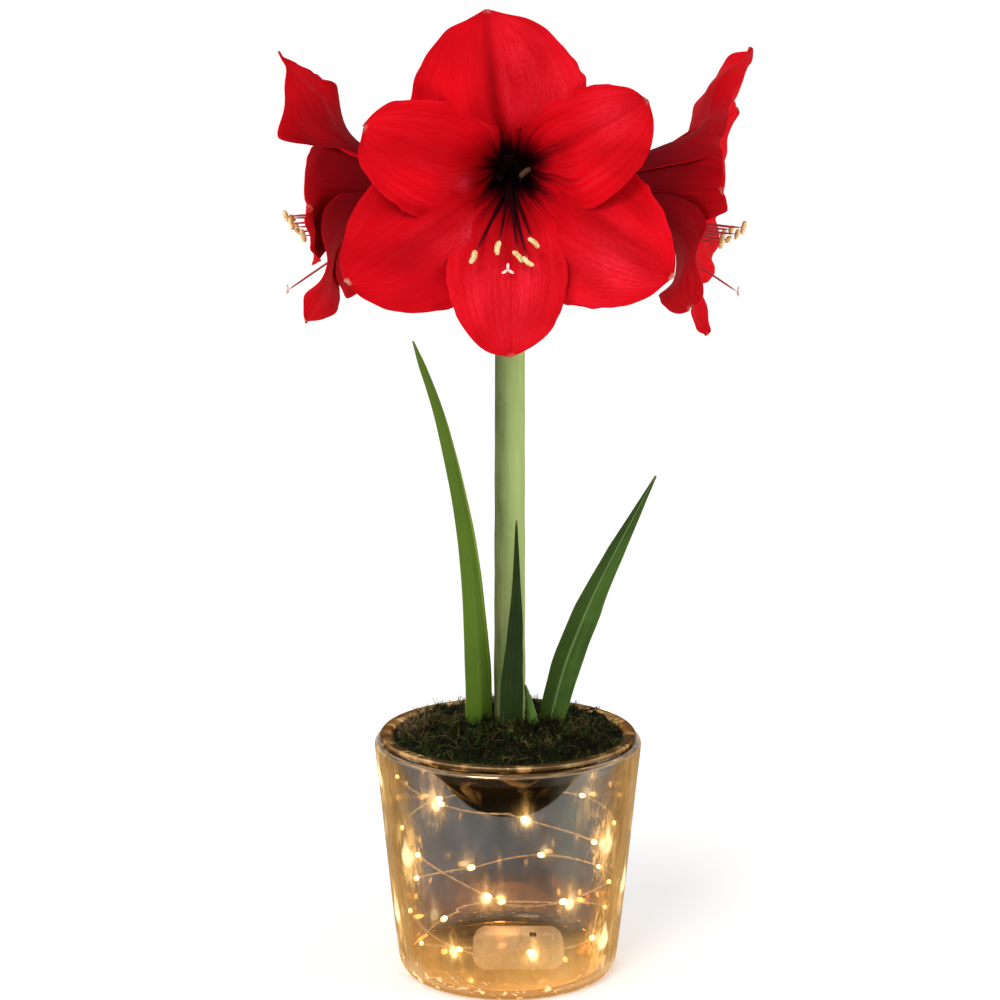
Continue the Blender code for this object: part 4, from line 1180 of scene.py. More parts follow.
def moss_height(x, y):
    """Height of the moss's rough surface."""
    radius = np.hypot(x, y)
    height = MOSS_CROWN + (MOSS_EDGE - MOSS_CROWN) * np.minimum(1, radius / MOUTH_RADIUS) ** 2
    spot = np.stack((x, y), axis=-1)
    fade = ease((MOUTH_RADIUS - radius) / 6)
    rough = 1.5 * swells(spot, 17.0, 31) + 1.0 * swells(spot, 7.0, 32) + 0.4 * swells(spot, 2.6, 33)
    return height + fade * rough


def moss_finish():
    """Damp dark moss, olive on its lumps and earthy between them; its near-black between the lumps is partly
    painted shade in the gaps under the sprigs.
    """
    finish, start = new_finish("moss_floor")
    clumps, tufts = start.place().noise(95, 4.0, 0.6), start.place().noise(700, 3.0, 0.65)
    colour = (clumps * 0.55 + tufts * 0.45).ramp((0.30, (0.003, 0.002, 0.001)), (0.46, (0.008, 0.006, 0.002)),
                                                 (0.56, (0.012, 0.014, 0.003)), (0.72, (0.030, 0.028, 0.010)))
    return dress(finish, Base_Color=colour, Roughness=0.9, Specular_IOR_Level=0.1,
                 Normal=tufts.bump(0.9, 0.0015))


def sprig_finish():
    """Moss sprigs from deep green to dry brown, by each sprig's own tone."""
    finish, start = new_finish("moss_sprigs")
    tone = start.value("tone") + (start.place().noise(500) - 0.5) * 0.25
    colour = tone.ramp((0.0, (0.004, 0.004, 0.001)), (0.26, (0.010, 0.014, 0.002)),
                       (0.44, (0.034, 0.050, 0.006)), (0.60, (0.090, 0.115, 0.020)),
                       (0.76, (0.060, 0.030, 0.009)), (1.0, (0.28, 0.185, 0.09)))
    return dress(finish, Base_Color=colour, Roughness=0.7, Specular_IOR_Level=0.12)


def bark_finish(name, low, high):
    finish, start = new_finish(name)
    grain = start.place().noise(650, 4.0, 0.65)
    colour = (grain.between(0.35, 0.65) * 0.6 + start.value("tone") * 0.4).mix(low, high)
    return dress(finish, Base_Color=colour, Roughness=0.85, Specular_IOR_Level=0.2,
                 Normal=grain.bump(0.6, 0.0005))


def model_of(piece):
    """Take a small model's points, in millimetres, and its faces, and remove it."""
    faces = [list(polygon.vertices) for polygon in piece.data.polygons]
    model = (points_of(piece) / MM, faces)
    bpy.data.objects.remove(piece)
    return model


def sprig_model(seed):
    """A moss sprig: a bent stem with small leaflets all round, narrow at its tip."""
    draw = np.random.default_rng(seed)
    bow = draw.uniform(1.5, 5.5)
    stem = lambda t: np.array((bow * t * t, 0.0, 8.5 * t))
    points, faces = [], []
    for step in range(20):
        t = (step + 1) / 20
        turn = step * 2.4 + draw.uniform(-0.3, 0.3)
        length = 2.3 * (1 - 0.6 * t) * draw.uniform(0.75, 1.2)
        reach = np.array((math.cos(turn), math.sin(turn), draw.uniform(0.35, 0.9))) * length
        side = unit(np.cross(reach, (0.2, 0.1, 1.0))) * 0.30
        start, middle = len(points), stem(t) + reach * 0.45
        points += [stem(t), middle + side, stem(t) + reach, middle - side]
        faces.append([start, start + 1, start + 2, start + 3])
    start = len(points)
    for t in (0.0, 0.5, 1.0):
        points += [stem(t) + np.array((0, side * (1 - 0.7 * t), 0)) for side in (-0.22, 0.22)]
    faces += [[start, start + 1, start + 3, start + 2], [start + 2, start + 3, start + 5, start + 4]]
    return np.array(points), faces


def fibre_model(seed):
    """A dry curled fibre, flat and closed."""
    draw = np.random.default_rng(seed)
    length = draw.uniform(7, 15)
    t = np.linspace(0, 1, 9)
    route = np.stack((length * (t - 0.5), 2.4 * np.sin(t * draw.uniform(2, 5) + draw.uniform(0, 6)),
                      1.3 * np.sin(t * draw.uniform(2, 6))), axis=1)
    return model_of(tube("fibre", route, 0.20 * np.sin(np.pi * np.clip(t, 0.06, 0.94)), 4))


def crumb_model(seed):
    """A lump of bark."""
    deselect()
    bpy.ops.mesh.primitive_ico_sphere_add(subdivisions=2, radius=MM)
    piece = bpy.context.object
    points = points_of(piece) / MM
    points *= (1 + 0.28 * swells(points, 1.3, seed))[:, None]
    points *= np.array((1.0, 0.62, 0.5))
    move_points(piece, points * MM)
    return model_of(piece)


def turn_to(up, spin, size):
    """A turn that stands a model along up, spun about it and scaled."""
    up = unit(np.asarray(up, float))
    side = unit(np.cross(up, (0.3, 0.9, 0.1)))
    other = np.cross(up, side)
    c, s = math.cos(spin), math.sin(spin)
    return np.stack((side * c + other * s, other * c - side * s, up), axis=1) * size


class AMARYLLIS_OT_moss(bpy.types.Operator):
    """Lay the moss with its sprigs, fibres, bark and twigs, and finish the soil and the bulb under it"""
    bl_idname = "amaryllis.moss"
    bl_label = "Moss and soil"

    def execute(self, context):
        look = settings().moss
        draw = np.random.default_rng(look.seed)
        self.lay_floor()
        self.plant_sprigs(look, draw)
        self.strew(look, draw)
        self.lay_twigs()
        self.finish_hidden()
        return {"FINISHED"}

    def lay_floor(self):
        def shape(up, across):
            x, y = round_about(FLOOR_RADIUS * np.minimum(up / 0.9, 1), TAU * across)
            skirt = np.clip((up - 0.9) / 0.1, 0, 1)
            height = moss_height(x, y)
            height = height - skirt * (height - MOSS_LOW - 1.0)
            pull = 1 - 0.10 * skirt
            return np.stack((x * pull, y * pull, height), axis=1)

        piece = shaped_grid("moss_floor", 110, 200, shape)
        close(piece)
        edit(piece, ("region_to_loop", {}), ("edge_face_add", {}), ("select_all", {"action": "SELECT"}),
             ("normals_make_consistent", {"inside": False}))
        settle(piece, (moss_finish(),), ("moss",))

    def clear_of_stems(self, x, y):
        """Whether a place on the moss is outside every leaf and the flower stem."""
        if math.hypot(x - STEM_BASE[0], y - STEM_BASE[1]) < STEM_CLEARANCE:
            return False
        for leaf in LEAVES.values():
            ahead, aside = x - leaf["route"][0][0], y - leaf["route"][0][1]
            turn = math.radians(leaf["turn"])
            along_it = ahead * math.cos(turn) + aside * math.sin(turn)
            off_it = aside * math.cos(turn) - ahead * math.sin(turn)
            if abs(along_it) < leaf["widths"][0][1] / 2 + 0.6 and abs(off_it) < LEAF_CLEARANCE:
                return False
        return True

    def spots(self, count, draw, edge=SPRIG_RADIUS):
        found = []
        while len(found) < count:
            x, y = round_about(edge * math.sqrt(draw.uniform()), draw.uniform(0, TAU))
            if self.clear_of_stems(x, y):
                found.append((x, y))
        return np.array(found)

    def plant_sprigs(self, look, draw):
        """Sprigs all over, a fringe of small ones over the front of the rim, and a dry tuft at the left."""
        models = [sprig_model(200 + index) for index in range(7)]
        spots = self.spots(look.sprigs, draw)
        heights = moss_height(*spots.T)
        patch = swells(spots, 26.0, 41)
        dry = swells(spots, 18.0, 42) + 1.6 * np.exp(-np.sum((spots - DRY_SPOT) ** 2, axis=1) / 260)
        places = []
        for (x, y), z, green, brown in zip(spots, heights, patch, dry):
            lean = draw.normal(size=2) * 0.75
            edge = math.hypot(x, y) / SPRIG_RADIUS
            inward = 0.4 * edge ** 3 if y > -20 else -0.5 * edge ** 4
            size = draw.uniform(0.45, 1.05) * (1 - 0.35 * edge ** 4)
            up = (lean[0] - inward * x / SPRIG_RADIUS, lean[1] - inward * y / SPRIG_RADIUS, 1.0)
            turn = turn_to(up, draw.uniform(0, TAU), size)
            tone = 0.26 + 0.18 * green + 0.16 * max(0.0, brown) + draw.normal() * 0.22
            places.append((turn, np.array((x, y, z - 1.6)), min(max(tone, 0), 0.82)))
        for turn in np.radians(draw.uniform(-168, -12, RIM_SPRIGS)):
            outward = np.array((math.cos(turn), math.sin(turn)))
            spot = (RIM_RADIUS + RIM_WIDTH * draw.uniform()) * outward
            up = (0.7 * outward[0] + 0.8 * draw.normal(), 0.7 * outward[1] + 0.5 * draw.normal(), 0.45)
            turn = turn_to(up, draw.uniform(0, TAU), draw.uniform(0.30, 0.52))
            tone = min(max(0.30 + 0.16 * draw.normal(), 0), 0.8)
            places.append((turn, np.array((*spot, BOWL_TOP - 0.6)), tone))
        for _ in range(TUFT_SPRIGS):
            x, y = TUFT_SPOT[0] + 5.5 * draw.normal(), TUFT_SPOT[1] + 9 * draw.normal()
            pull = min(1.0, 63 / math.hypot(x, y))
            x, y = x * pull, y * pull
            up = (0.3 + 0.6 * draw.normal(), 0.6 * draw.normal(), 0.8)
            turn = turn_to(up, draw.uniform(0, TAU), draw.uniform(0.55, 1.0))
            spot = np.array((x, y, float(moss_height(x, y)[0]) + 0.2))
            places.append((turn, spot, draw.uniform(0.84, 1.0)))
        piece = copies("moss_sprigs", models, places)
        self.keep_in_mouth(piece)
        settle(piece, (sprig_finish(),), smooth=False)

    def keep_in_mouth(self, piece):
        """Pull in what would reach through the bowl's wall."""
        points = points_of(piece) / MM
        radius = np.hypot(points[:, 0], points[:, 1])
        height = np.where(radius > MOUTH_RADIUS - 1, np.maximum(points[:, 2], BOWL_TOP + 0.5), points[:, 2])
        limit = np.where(height > BOWL_TOP + 0.4, REACH_OVER_RIM, REACH_IN_MOUTH)
        points[:, :2] *= np.minimum(1.0, limit / np.maximum(radius, 1e-6))[:, None]
        points[:, 2] = np.maximum(height, MOSS_LOW + 0.5)
        move_points(piece, points * MM)

    def strew(self, look, draw):
        for name, models, count, finish, sink in (
                ("dry_fibres", [fibre_model(300 + index) for index in range(8)], look.fibres,
                 bark_finish("dry_fibre", (0.035, 0.018, 0.007), (0.16, 0.10, 0.045)), 1.4),
                ("bark_crumbs", [crumb_model(400 + index) for index in range(6)], look.crumbs,
                 bark_finish("bark", (0.006, 0.004, 0.003), (0.036, 0.020, 0.010)), 0.6)):
            spots = self.spots(count, draw, STREW_RADIUS)
            if name == "dry_fibres":
                left = draw.uniform(size=count) < 0.42
                nest = np.stack((NEST_SPOT[0] + 7 * draw.normal(size=count),
                                 NEST_SPOT[1] + 9 * draw.normal(size=count)), axis=1)
                nest *= np.minimum(1, 60 / np.hypot(*nest.T))[:, None]
                spots = np.where(left[:, None], nest, spots)
            places = []
            for (x, y), z in zip(spots, moss_height(*spots.T)):
                up = draw.normal(size=3) * (0.45, 0.45, 0.2) + (0, 0, 1)
                size = draw.uniform(0.6, 1.3)
                turn = turn_to(up, draw.uniform(0, TAU), size)
                places.append((turn, np.array((x, y, z + sink)), draw.uniform()))
            piece = copies(name, models, places)
            self.keep_in_mouth(piece)
            settle(piece, (finish,), smooth=name == "bark_crumbs")

    def lay_twigs(self):
        """Three dark twigs: beside the left leaf, at the left edge and at the right."""
        routes = (((-30, 12, 145), (-28.5, 11.5, 150), (-26.0, 11, 152.5), (-24.5, 11, 155.5)),
                  ((-46, 24, 139), (-42.5, 24, 144), (-40.5, 23, 146), (-37, 23, 148.5)),
                  ((38, 30, 141), (42, 28, 143.5), (47, 27.5, 144), (52, 26, 146)))
        share = np.linspace(0, 1, 26)
        parts = []
        for index, route in enumerate(routes):
            radii = rounded_ends(0.62 - 0.22 * share + 0.10 * swells(share * 26, 4.0, 51 + index))
            parts.append(tube("twig", along(route, share), radii, 9))
        piece = joined("twigs", parts)
        note(piece, "tone", 0.15)
        settle(piece, (bark_finish("twig_bark", (0.010, 0.008, 0.006), (0.050, 0.032, 0.020)),))

    def finish_hidden(self):
        """The soil and the bulb lie under the moss: they keep their shape."""
        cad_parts["soil"].material_slots[0].material = grainy(
            "damp_soil", (420, 4.0, 0.65),
            ((0.3, (0.010, 0.006, 0.004)), (0.55, (0.035, 0.022, 0.014)), (0.75, (0.075, 0.05, 0.034))),
            (1.0, 0.002), 0.95)
        finish, start = new_finish("bulb_skin")
        skins = start.place().stretched(90, 18).noise(1.0, 4.0, 0.6)
        colour = skins.ramp((0.3, (0.12, 0.055, 0.022)), (0.5, (0.30, 0.17, 0.08)), (0.7, (0.46, 0.30, 0.16)))
        dress(finish, Base_Color=colour, Roughness=0.6, Normal=skins.bump(0.6, 0.001))
        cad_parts["bulb"].material_slots[0].material = finish


# Pot, its mirror film and the bowl

def pot_lines():
    """Outline of the glass, as radius and height, from the underside's middle over the lip to the floor."""
    foot = ((POT_FOOT_RADIUS - 10, 0.0), (POT_FOOT_RADIUS, 0.0), (58.6, 0.9), POT_OUTLINE[0], (62.0, 6.0))
    side = along(((62.0, 6.0), *POT_OUTLINE[1:]), np.linspace(0, 1, 70))
    turns = np.linspace(0, math.pi, 17)
    lip = LIP_RADIUS * np.stack((np.cos(turns), np.sin(turns)), axis=1)
    top = POT_HEIGHT - LIP_RADIUS
    lip += (float(pot_radius(top)) - 0.6 - LIP_RADIUS + 1, top)
    inside = [(radius - POT_WALL, z) for radius, z in side[::-1] if z > 13]
    base = POT_OUTLINE[0][0] - POT_WALL
    corner = (inside[-1], (base + 1.6, 9.0), (base - 1.2, 5.2), (base - 5, POT_FLOOR), (46, POT_FLOOR))
    return [(0.0, 0.0), (POT_FOOT_RADIUS - 20, 0.0), *along(foot, np.linspace(0, 1, 26)), *side[1:], *lip,
            *inside, *along(corner, np.linspace(0, 1, 22))[1:], (20.0, POT_FLOOR), (0.0, POT_FLOOR)]


def lamp_glow(points):
    """How much painted lamp light each wall point gets: painted halos and flames, and tall painted streaks at
    the sides.
    """
    around, radius = np.arctan2(points[:, 1], points[:, 0]), np.hypot(points[:, 0], points[:, 1])
    near, streak = np.zeros(len(points)), np.zeros(len(points))
    for lamp in string_points(lamp_turns()):
        turn = around - math.atan2(lamp[1], lamp[0])
        across = np.where(np.cos(turn) > 0, radius * np.sin(turn), 99.0)
        up = points[:, 2] - lamp[2]
        far = np.hypot(across, up)
        near += 1.1 * np.exp(-(far / HALO) ** 2) + 0.40 * np.exp(-(far / WIDE_HALO) ** 2)
        near += 0.40 * np.exp(-(across / 2.2) ** 2 - ((up - 7) / 6) ** 2)
        side = 2.4 if abs(lamp[0]) > 40 else 0.15
        streak += side * np.exp(-((across / 9) ** 2 + (up / 20) ** 2))
    wall = np.clip((radius - 45) / 10, 0, 1)
    return near * wall, streak * wall


def glass_finish():
    """Clear glass: little more than its reflections, with a copper rim, and painted light: a foot full of
    warm glow, glints, and halos and streaks round the lamps.
    """
    look = settings().pot
    finish, start = new_finish("pot_glass")
    near, streak = start.values("near", "streak")
    place = start.place()
    height = place.part("Z") * 1000
    facing = start.node("LayerWeight", None, {"Blend": 0.5}, "Facing")
    rim = height.between(POT_HEIGHT - 3.0, POT_HEIGHT - 1.2)
    # Foot and base: painted warm glow of the lamps, in their colour and their emission
    foot = height.falling(0.5, 20.0)
    base = height.falling(2.5, 8.0)
    # The worn copper rim's pattern, which also places the rim's painted glints
    wear_and_glints = place.stretched(30, 500).noise(1.0, 4.0, 0.65)
    ripple = place.stretched(45, 20).noise(1.0, 3.0, 0.5, 0.6)
    bands = place.stretched(150, 45).noise(1.0, 4.0, 0.65, 0.3)
    glints = place.stretched(170, 200).noise(1.0, 3.0, 0.6, 0.3)
    # Painted glints low on the glass
    spark = height.falling(5.0, 22.0) * glints.between(0.59, 0.65)
    colour = start.layers(
        bands.ramp((0.32, (0.66, 0.54, 0.38)), (0.50, (0.92, 0.74, 0.48)), (0.68, (1.0, 0.90, 0.70))),
        (rim, wear_and_glints.ramp((0.38, (0.10, 0.052, 0.020)), (0.60, look.copper))), (base, (0.30, 0.14, 0.04)))
    clear = facing.between(0.30, 0.60) * (0.72 + bands.between(0.35, 0.65) * 0.22) + 0.03
    alpha = clear.maths("MAXIMUM", rim * (0.72 + wear_and_glints * 0.2)) + foot * (0.06 + ripple * 0.16)
    alpha = alpha + base * 0.62 + spark * 0.6
    # Painted light: glow in the foot and base, glints, smears from the side lamps, halos round the lamps and
    # glints on the rim
    light = start.layers(
        BLACK, (foot, (0.60, 0.31, 0.085)), (base, (0.74, 0.345, 0.085)), (spark, (2.6, 1.8, 0.80)),
        (streak.between(0.3, 2.2) * bands.between(0.48, 0.60), (1.7, 1.0, 0.34)),
        (near.between(0.10, 0.60), (4.0, 3.0, 1.6)),
        (rim * (0.12 + wear_and_glints.between(0.54, 0.68) * 0.8), (1.0, 0.58, 0.22)))
    return dress(finish, Base_Color=colour, Metallic=1.0 - foot * 0.4, Roughness=0.03 + rim * 0.07,
                 Alpha=alpha, Normal=ripple.bump(0.12, 0.004), Emission_Color=light, Emission_Strength=0.44)


def film_finish():
    """Smoky mirror film inside the glass: it lets part of the light through, and painted lamp light glows on
    it in halos, smears and a warm band low down.
    """
    look = settings().pot
    finish, start = new_finish("smoky_film")
    near, streak = start.values("near", "streak")
    place = start.place()
    x, y, height = (place.part(axis) * 1000 for axis in "XYZ")
    drips = place.stretched(110, 30).noise(1.0, 5.0, 0.70, 0.25)
    clouds = place.stretched(22, 20).noise(1.0, 3.0, 0.55, 0.4)
    glints = place.stretched(260, 110).noise(1.0, 3.0, 0.6, 0.3)
    cover = drips.between(0.35, 0.7) * 0.5 + clouds.between(0.35, 0.65) * 0.5
    # Low down the film looks lit amber by the lamps: painted light in its colour and its glow
    low = (height + clouds * 5.0).falling(31.0, 42.0)
    colour = start.layers(
        look.smoke, (cover * (0.25 + height.between(45, 120) * 0.75), look.silver),
        # Painted shade: the mirror darkened high up, except at the right, where it keeps its reflection
        (height.between(108, 122) * x.falling(15, 45) * 0.9, (0.012, 0.007, 0.003)),
        (low * 0.8, (0.50, 0.30, 0.13)))
    # Painted light: smears of lamp light at the sides, a warm glow low down, and halos round the lamps
    painted_smears = streak.between(0.05, 2.2) * (drips.between(0.47, 0.64) + glints.between(0.50, 0.62) * 1.5 + 0.06)
    painted_glow_pool = low * (0.15 + drips.between(0.40, 0.75) * 0.13)
    painted_glow_pool = painted_glow_pool + height.falling(4.0, 25.0) * (0.10 + clouds.between(0.3, 0.7) * 0.30)
    glow = painted_smears + painted_glow_pool * (1 - y.between(0, 45) * 0.75) + near * (0.45 + glints.between(0.40, 0.60) * 0.75)
    light = start.layers(BLACK, (glow, look.amber), (near.between(0.5, 1.2), (1.5, 1.05, 0.50)))
    alpha = look.film + (cover - 0.5) * 0.16 + low * 0.08
    return dress(finish, Base_Color=colour, Metallic=0.92, Roughness=0.05 + clouds * 0.06, Alpha=alpha,
                 Emission_Color=light, Emission_Strength=1.35)


def bronze_finish():
    """Glossy dark bronze with shallow dents, a worn copper rim, and painted glints of the lamps on the bowl
    and its rim.
    """
    look = settings().pot
    finish, start = new_finish("dark_bronze")
    place = start.place()
    clouds = place.noise(34, 4.0, 0.6, 0.5)
    dents = place.stretched(1.0, 0.35).noise(60, 2.0, 0.5, 0.8)
    patches = place.stretched(1.0, 0.35).noise(62, 3.0, 0.55, 0.4)
    # The worn copper rim's pattern, which also places the rim's painted glints
    wear_and_glints = place.stretched(55, 0.0).noise(1.0, 4.0, 0.62, 0.3)
    rim = (place.part("Z") * 1000).between(BOWL_TOP - 3.2, BOWL_TOP - 1.0)
    colour = (rim * 0.9).mix(
        clouds.ramp((0.35, (0.002, 0.001, 0.0004)), (0.55, look.bronze), (0.75, (0.040, 0.020, 0.006))),
        wear_and_glints.ramp((0.34, (0.16, 0.085, 0.032)), (0.64, (0.78, 0.52, 0.27))))
    # Painted glints of the lamps on the bowl near them, and on its rim
    sparks = start.value("near").between(0.15, 0.9) * (patches.between(0.52, 0.68) * 0.8 + 0.04) * (1 - rim)
    light = start.layers(BLACK, (rim * (0.08 + wear_and_glints.between(0.52, 0.70) * 0.70), (0.90, 0.50, 0.18)),
                         (sparks, (1.7, 0.75, 0.16)))
    return dress(finish, Base_Color=colour, Metallic=0.95, Roughness=0.07 + clouds * 0.10,
                 Specular_Tint=(0.10, 0.055, 0.020), Normal=dents.bump(0.5, 0.003), Emission_Color=light,
                 Emission_Strength=0.8)


class AMARYLLIS_OT_pot(bpy.types.Operator):
    """Turn the glass pot with its mirror film, and the bowl in its mouth"""
    bl_idname = "amaryllis.pot"
    bl_label = "Pot and bowl"

    def execute(self, context):
        glass = turned("pot_glass", pot_lines(), 288)
        # Where the glass and its film get painted lamp light
        near, streak = lamp_glow(points_of(glass) / MM)
        note(glass, "near", near)
        note(glass, "streak", streak)
        settle(glass, (glass_finish(), film_finish()), ("glass_shell",))
        middles = np.array([tuple(polygon.center) for polygon in glass.data.polygons]) / MM
        radius, height = np.hypot(middles[:, 0], middles[:, 1]), middles[:, 2]
        coated = (radius < pot_radius(height) - POT_WALL / 2) & (height > POT_FLOOR / 2) & (height < FILM_TOP)
        glass.data.polygons.foreach_set("material_index", coated.astype(int))
        self.turn_bowl()
        return {"FINISHED"}

    def turn_bowl(self):
        profile = [(MOUTH_RADIUS + 1.5, 2.7), *BOWL_OUTSIDE, (0.0, BOWL_DEPTH)]
        under = along(profile, np.linspace(0, 1, 64))
        under[-1, 0] = 0.0
        outside = np.stack((under[:, 0], BOWL_TOP - under[:, 1]), axis=1)
        slope = unit(np.gradient(outside, axis=0))
        inside = outside + np.stack((slope[:, 1], -slope[:, 0]), axis=1) * BOWL_WALL
        inside[-1, 0] = 0.0
        inside = inside[(inside[:, 1] < BOWL_TOP - 1.2) & (inside[:, 0] < MOUTH_RADIUS - 0.6)]
        edge = ((FLANGE_RADIUS - 0.6, BOWL_TOP - FLANGE_THICKNESS), (FLANGE_RADIUS, BOWL_TOP - 2.0),
                (FLANGE_RADIUS, BOWL_TOP - 0.7), (FLANGE_RADIUS - 0.6, BOWL_TOP),
                (MOUTH_RADIUS + 0.6, BOWL_TOP), (MOUTH_RADIUS, BOWL_TOP - 0.5))
        bowl = turned("bronze_bowl", [*outside[::-1], *edge, *inside], 128)
        points = points_of(bowl) / MM
        # How near each point is to the lamps, for the bowl's painted glints
        note(bowl, "near", sum(np.exp(-np.sum((points - lamp) ** 2, axis=1) / 26 ** 2)
                               for lamp in string_points(lamp_turns())))
        settle(bowl, (bronze_finish(),), ("inner_bowl",), angle=40)


# Light string and battery box

def lamp_finish(look):
    """A clear drop over a lamp: white-hot in its middle and amber at its ends."""
    finish, start = new_finish("lamp_glow")
    heart = abs(start.value("up") - 0.5).falling(0.08, 0.42)
    return dress(finish, Base_Color=(0.9, 0.7, 0.4), Roughness=0.15,
                 Emission_Color=heart.mix((1.0, 0.42, 0.08), look.lamp), Emission_Strength=look.strength)


# Copper strands that glow: painted light, so that they show as bright golden lines
def wire_finish():
    finish, start = new_finish("copper_strands")
    grain = start.place().noise(1200)
    return dress(finish, Base_Color=grain.ramp((0.3, (0.62, 0.28, 0.11)), (0.7, (0.90, 0.55, 0.28))),
                 Metallic=1.0, Roughness=0.25, Emission_Strength=2.2,
                 Emission_Color=grain.between(0.35, 0.7).mix((0.40, 0.22, 0.08), (0.85, 0.58, 0.28)))


def frosted_finish():
    """Frosted plastic with a painted glow that stands for the lamps' light from around."""
    finish, start = new_finish("frosted_plastic")
    grain, clouds = start.place().noise(1500), start.place().noise(45)
    colour = clouds.ramp((0.3, (0.78, 0.62, 0.42)), (0.7, (0.90, 0.78, 0.60)))
    light = clouds.between(0.3, 0.7).mix((0.45, 0.26, 0.11), (0.70, 0.46, 0.23))
    return dress(finish, Base_Color=colour, Roughness=0.42 + grain * 0.1, Normal=grain.bump(0.12, 0.0001),
                 Alpha=0.45, Emission_Color=light, Emission_Strength=1.8)


class AMARYLLIS_OT_lights(bpy.types.Operator):
    """Lay the light string: two twisted strands with a lamp at each of its places, and the battery box"""
    bl_idname = "amaryllis.lights"
    bl_label = "Light string"

    def execute(self, context):
        look = settings().light
        self.lay_wire(look)
        self.set_lamps(look)
        self.make_battery_box()
        return {"FINISHED"}

    def lay_wire(self, look):
        turns = np.linspace(lamp_turns()[0] - 0.012, lamp_turns()[-1] + 0.0045, 1000)
        line = string_points(turns)
        middle = (BATTERY_LOW + BATTERY_HIGH) / 2
        entry = np.array((BATTERY_LOW.x - 0.3, middle.y, middle.z))
        tail = along((line[-2], line[-1], entry - (6, 0, 0), entry), np.linspace(0.34, 1, 20))
        line = np.vstack((line, tail))
        length = np.concatenate(([0.0], np.cumsum(np.linalg.norm(np.diff(line, axis=0), axis=1))))
        even = np.linspace(0, length[-1], int(length[-1] / 1.1))
        line = np.stack([np.interp(even, length, line[:, axis]) for axis in range(3)], axis=1)
        ahead = unit(np.gradient(line, axis=0))
        side = unit(np.cross(ahead, (0, 0, 1)))
        other = np.cross(ahead, side)
        radius = look.wire / MM / 2
        strands = []
        for number in range(2):
            twist = even * TAU / STRAND_TWIST + math.pi * number
            apart = radius * (1.25 + 0.9 * np.clip(swells(even, 60.0, 71), 0, 1))
            offset = side * (np.cos(twist) * apart)[:, None] + other * (np.sin(twist) * apart)[:, None]
            strands.append(tube("strand", line + offset, rounded_ends(np.full(len(line), radius), 2), 6))
        settle(joined("wire_pair", strands), (wire_finish(),), ("light_string",))

    def set_lamps(self, look):
        lamps = []
        t = np.linspace(-1, 1, 15)
        for number, turns in enumerate(lamp_turns()):
            middle, ahead = string_points(np.array((turns, turns + 0.002)))
            size = 0.72 + 0.28 * math.sin(number * 2.4) ** 2
            route = middle + unit(ahead - middle) * (t * LAMP_HALF_LENGTH * size)[:, None]
            radii = LAMP_HALF_WIDTH * size * np.sqrt(np.clip(1 - abs(t) ** 2.2, 0, 1))
            lamps.append(tube("lamp", route, radii, 12))
        settle(joined("lamps", lamps), (lamp_finish(look),), ("light_string",))

    def make_battery_box(self):
        size, middle = BATTERY_HIGH - BATTERY_LOW, (BATTERY_HIGH + BATTERY_LOW) / 2
        box = self.add_block("battery_case", size, middle, BOX_CORNER, 8, BOX_EDGE)
        seam = (middle.z + SEAM_UP) * MM
        for height in (seam, seam + SEAM_WIDTH * MM):
            edit(box, ("bisect", {"plane_co": (0, 0, height), "plane_no": (0, 0, 1)}))
        points = points_of(box)
        groove = np.abs(points[:, 2] - seam - SEAM_WIDTH / 2 * MM) < 0.3 * MM
        inward = points[:, :2] - np.array((middle.x, middle.y)) * MM
        points[groove, :2] -= unit(inward[groove]) * SEAM_DEPTH * MM
        move_points(box, points)
        settle(box, (frosted_finish(),), ("battery_box",), angle=35)
        size, middle = SWITCH_HIGH - SWITCH_LOW, (SWITCH_HIGH + SWITCH_LOW) / 2
        switch = self.add_block("switch_knob", size, middle, SWITCH_CORNER, 3, SWITCH_EDGE)
        points = points_of(switch)
        ridge = np.clip((points[:, 2] / MM - middle.z) / size.z * 2, 0, 1)
        points[:, 2] -= ridge * 0.12 * MM * (1 + np.cos((points[:, 0] / MM - middle.x) * 4.2))
        move_points(switch, points)
        finish = grainy("dark_switch", (2500,), ((0.3, (0.02, 0.018, 0.016)), (0.7, (0.05, 0.045, 0.04))),
                        (0.2, 0.0001), 0.4, 0.15)
        settle(switch, (finish,), ("box_switch",), angle=35)

    def add_block(self, name, size, middle, corner, segments, edge):
        """A block with round upright corners and a softer rim."""
        deselect()
        bpy.ops.mesh.primitive_cube_add(size=MM, location=middle * MM)
        piece = bpy.context.object
        piece.name = piece.data.name = name
        piece.scale = size
        bpy.ops.object.transform_apply(location=True, rotation=True, scale=True)
        self.bevel(piece, lambda a, b: abs(a.z - b.z) > size.z * MM / 2, corner, segments)
        low, high = (middle.z - size.z / 2) * MM, (middle.z + size.z / 2) * MM
        self.bevel(piece, lambda a, b: max(a.z, b.z) < low + 1e-6 or min(a.z, b.z) > high - 1e-6, edge, 4)
        return piece

    def bevel(self, piece, wanted, width, segments):
        """Round the edges whose two ends are wanted."""
        select(piece)
        for part in (*piece.data.polygons, *piece.data.vertices):
            part.select = False
        for edge in piece.data.edges:
            edge.select = wanted(*(piece.data.vertices[index].co for index in edge.vertices))
        bpy.ops.object.mode_set(mode="EDIT")
        bpy.ops.mesh.select_mode(type="EDGE")
        bpy.ops.mesh.bevel(offset=width * MM, segments=segments, affect="EDGES")
        bpy.ops.mesh.select_mode(type="VERT")
        bpy.ops.object.mode_set(mode="OBJECT")


# Stage: sizes and places in metres, and how far down the camera looks, in degrees

FLOOR_SIZE = 120
BACKDROP_RADIUS = 18
BACKDROP_HEIGHT = 60
CAMERA_PLACE = (-0.0045, -1.5, 0.57)
CAMERA_DIP = 11.2


